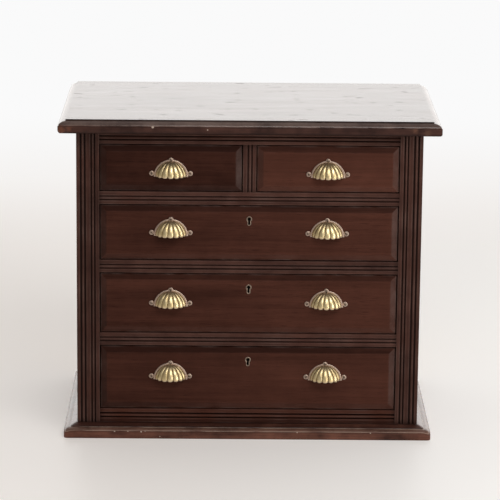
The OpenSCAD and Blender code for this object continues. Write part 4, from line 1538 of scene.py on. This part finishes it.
@dataclass(frozen=True)
class Studio:
    """Camera, floor and light.

    Attributes:
        lens: focal length of the camera, in millimetres.
        position: where the camera is, in metres.
        pitch, yaw, roll: how far it looks down and to the right, and leans, in degrees.
    """

    lens: float = 197.8
    position: tuple[float, float, float] = (-0.0253, -3.5109, 1.0528)
    pitch: float = 13.390
    yaw: float = 0.452
    roll: float = 0.554

    def camera(self) -> None:
        """Sets the camera: a long lens looking a little down from the front."""
        p, w, r = (math.radians(v) for v in (self.pitch, self.yaw, self.roll))
        ahead = np.array([math.sin(w) * math.cos(p), math.cos(w) * math.cos(p), -math.sin(p)])
        right = np.array([math.cos(w), -math.sin(w), 0.0])
        down = np.cross(ahead, right)
        x_axis = right * math.cos(r) - down * math.sin(r)
        y_axis = -(right * math.sin(r) + down * math.cos(r))
        data = bpy.data.cameras.new("camera")
        data.lens, data.sensor_width, data.clip_end = self.lens, 36.0, 50.0
        obj = bpy.data.objects.new("camera", data)
        obj.matrix_world = facing(x_axis, y_axis, ahead, self.position)
        bpy.context.scene.collection.objects.link(obj)
        bpy.context.scene.camera = obj

    def floor(self) -> None:
        """A pale floor, lighter to the right as painted window light, that glows a little and turns white
        with distance.
        """
        mesh = bpy.data.meshes.new("floor")
        half = 7.0
        corners = [(-half, -half, 0), (half, -half, 0), (half, half, 0), (-half, half, 0)]
        mesh.from_pydata(corners, [], [(0, 1, 2, 3)])
        material, g = Graph.of_material("floor")
        place = g.place()
        x, y = (g.out("ShaderNodeSeparateXYZ", axis, {0: place}) for axis in "XY")
        # Painted light: the floor is lighter, and glows more, towards the right where the window light
        # falls.
        window_lit_tint = g.mix(x.between(-0.5, 0.6), (0.74, 0.70, 0.665), (0.80, 0.785, 0.765))
        diffuse = g.node("ShaderNodeBsdfPrincipled", {
            "Base Color": window_lit_tint, "Roughness": 0.5, "Emission Color": window_lit_tint, "Emission Strength": 0.36})
        wall = g.mix(y.between(0.9, 2.2), (0.88, 0.845, 0.815), (0.955, 0.955, 0.957))
        glow = g.node("ShaderNodeEmission", {"Color": wall, "Strength": 1.0})
        near, far = (Sock(g, shader.outputs[0]) for shader in (diffuse, glow))
        mixed = g.out("ShaderNodeMixShader", 0, {0: y.between(0.6, 1.5), 1: near, 2: far})
        g.node("ShaderNodeOutputMaterial", {"Surface": mixed})
        mesh.materials.append(material)
        obj = bpy.data.objects.new("floor", mesh)
        bpy.context.scene.collection.objects.link(obj)

    def world(self) -> None:
        """Soft light from all round: bright behind the chest, dim towards the viewer."""
        world = bpy.data.worlds.new("world")
        world.use_nodes = True
        bpy.context.scene.world = world
        g = Graph(world.node_tree)
        direction = g.out("ShaderNodeTexCoord", "Generated")
        split = g.node("ShaderNodeSeparateXYZ", {0: direction})
        x, y, z = (Sock(g, split.outputs[k]) for k in range(3))
        back = y.between(-0.1, 0.6) * (1 - z.between(0.25, 0.7))
        right = x.between(0.2, 0.9) * (1 - z.between(0.3, 0.8))
        seen = g.out("ShaderNodeLightPath", "Is Camera Ray")
        strength = (0.27 + back * 1.45 + right * 0.35) * (1 - seen) + seen * 0.965
        colour = g.mix(seen, (1.0, 0.975, 0.955), (1.0, 1.0, 1.0))
        shader = g.node("ShaderNodeBackground", {"Color": colour, "Strength": strength})
        g.node("ShaderNodeOutputWorld", {0: Sock(g, shader.outputs[0])})

    def light(self, name: str, place: Sequence[float], target: Sequence[float],
              size: tuple[float, float], power: float, colour: Colour = (1.0, 1.0, 1.0)) -> None:
        """Adds a soft rectangular light aimed at a point.

        Args:
            name: name of the lamp.
            place, target: where it is and what it is aimed at, in metres.
            size: its width and height, in metres.
            power: its power, in watts.
            colour: its colour.
        """
        data = bpy.data.lights.new(name, "AREA")
        data.shape = "RECTANGLE"
        data.size, data.size_y = size
        data.energy, data.color = power, colour
        obj = bpy.data.objects.new(name, data)
        ahead = np.asarray(target, float) - np.asarray(place, float)
        ahead /= np.linalg.norm(ahead)
        right = np.cross(ahead, (0, 0, 1.0))
        right /= np.linalg.norm(right)
        upward = np.cross(right, ahead)
        obj.matrix_world = facing(right, upward, ahead, place)
        obj.visible_camera = False
        bpy.context.scene.collection.objects.link(obj)

    def build(self) -> None:
        """Sets everything up."""
        self.camera()
        self.floor()
        self.world()
        self.light("key", (0.55, -1.6, 1.75), (0, 0, 0.2), (1.5, 0.9), 20)
        self.light("window", (2.0, -1.7, 0.45), (0, 0, 0.25), (0.9, 0.8), 14, (1.0, 0.98, 0.96))
        bpy.context.scene.view_settings.view_transform = "Standard"


def main() -> None:
    """Builds the chest and its studio."""
    logging.basicConfig(level=logging.INFO)
    builder = Builder(Finishes())
    Chest(builder).build()
    Studio().build()
    LOG.info("%d pieces built", builder.count)


if __name__ == "__main__":
    main()
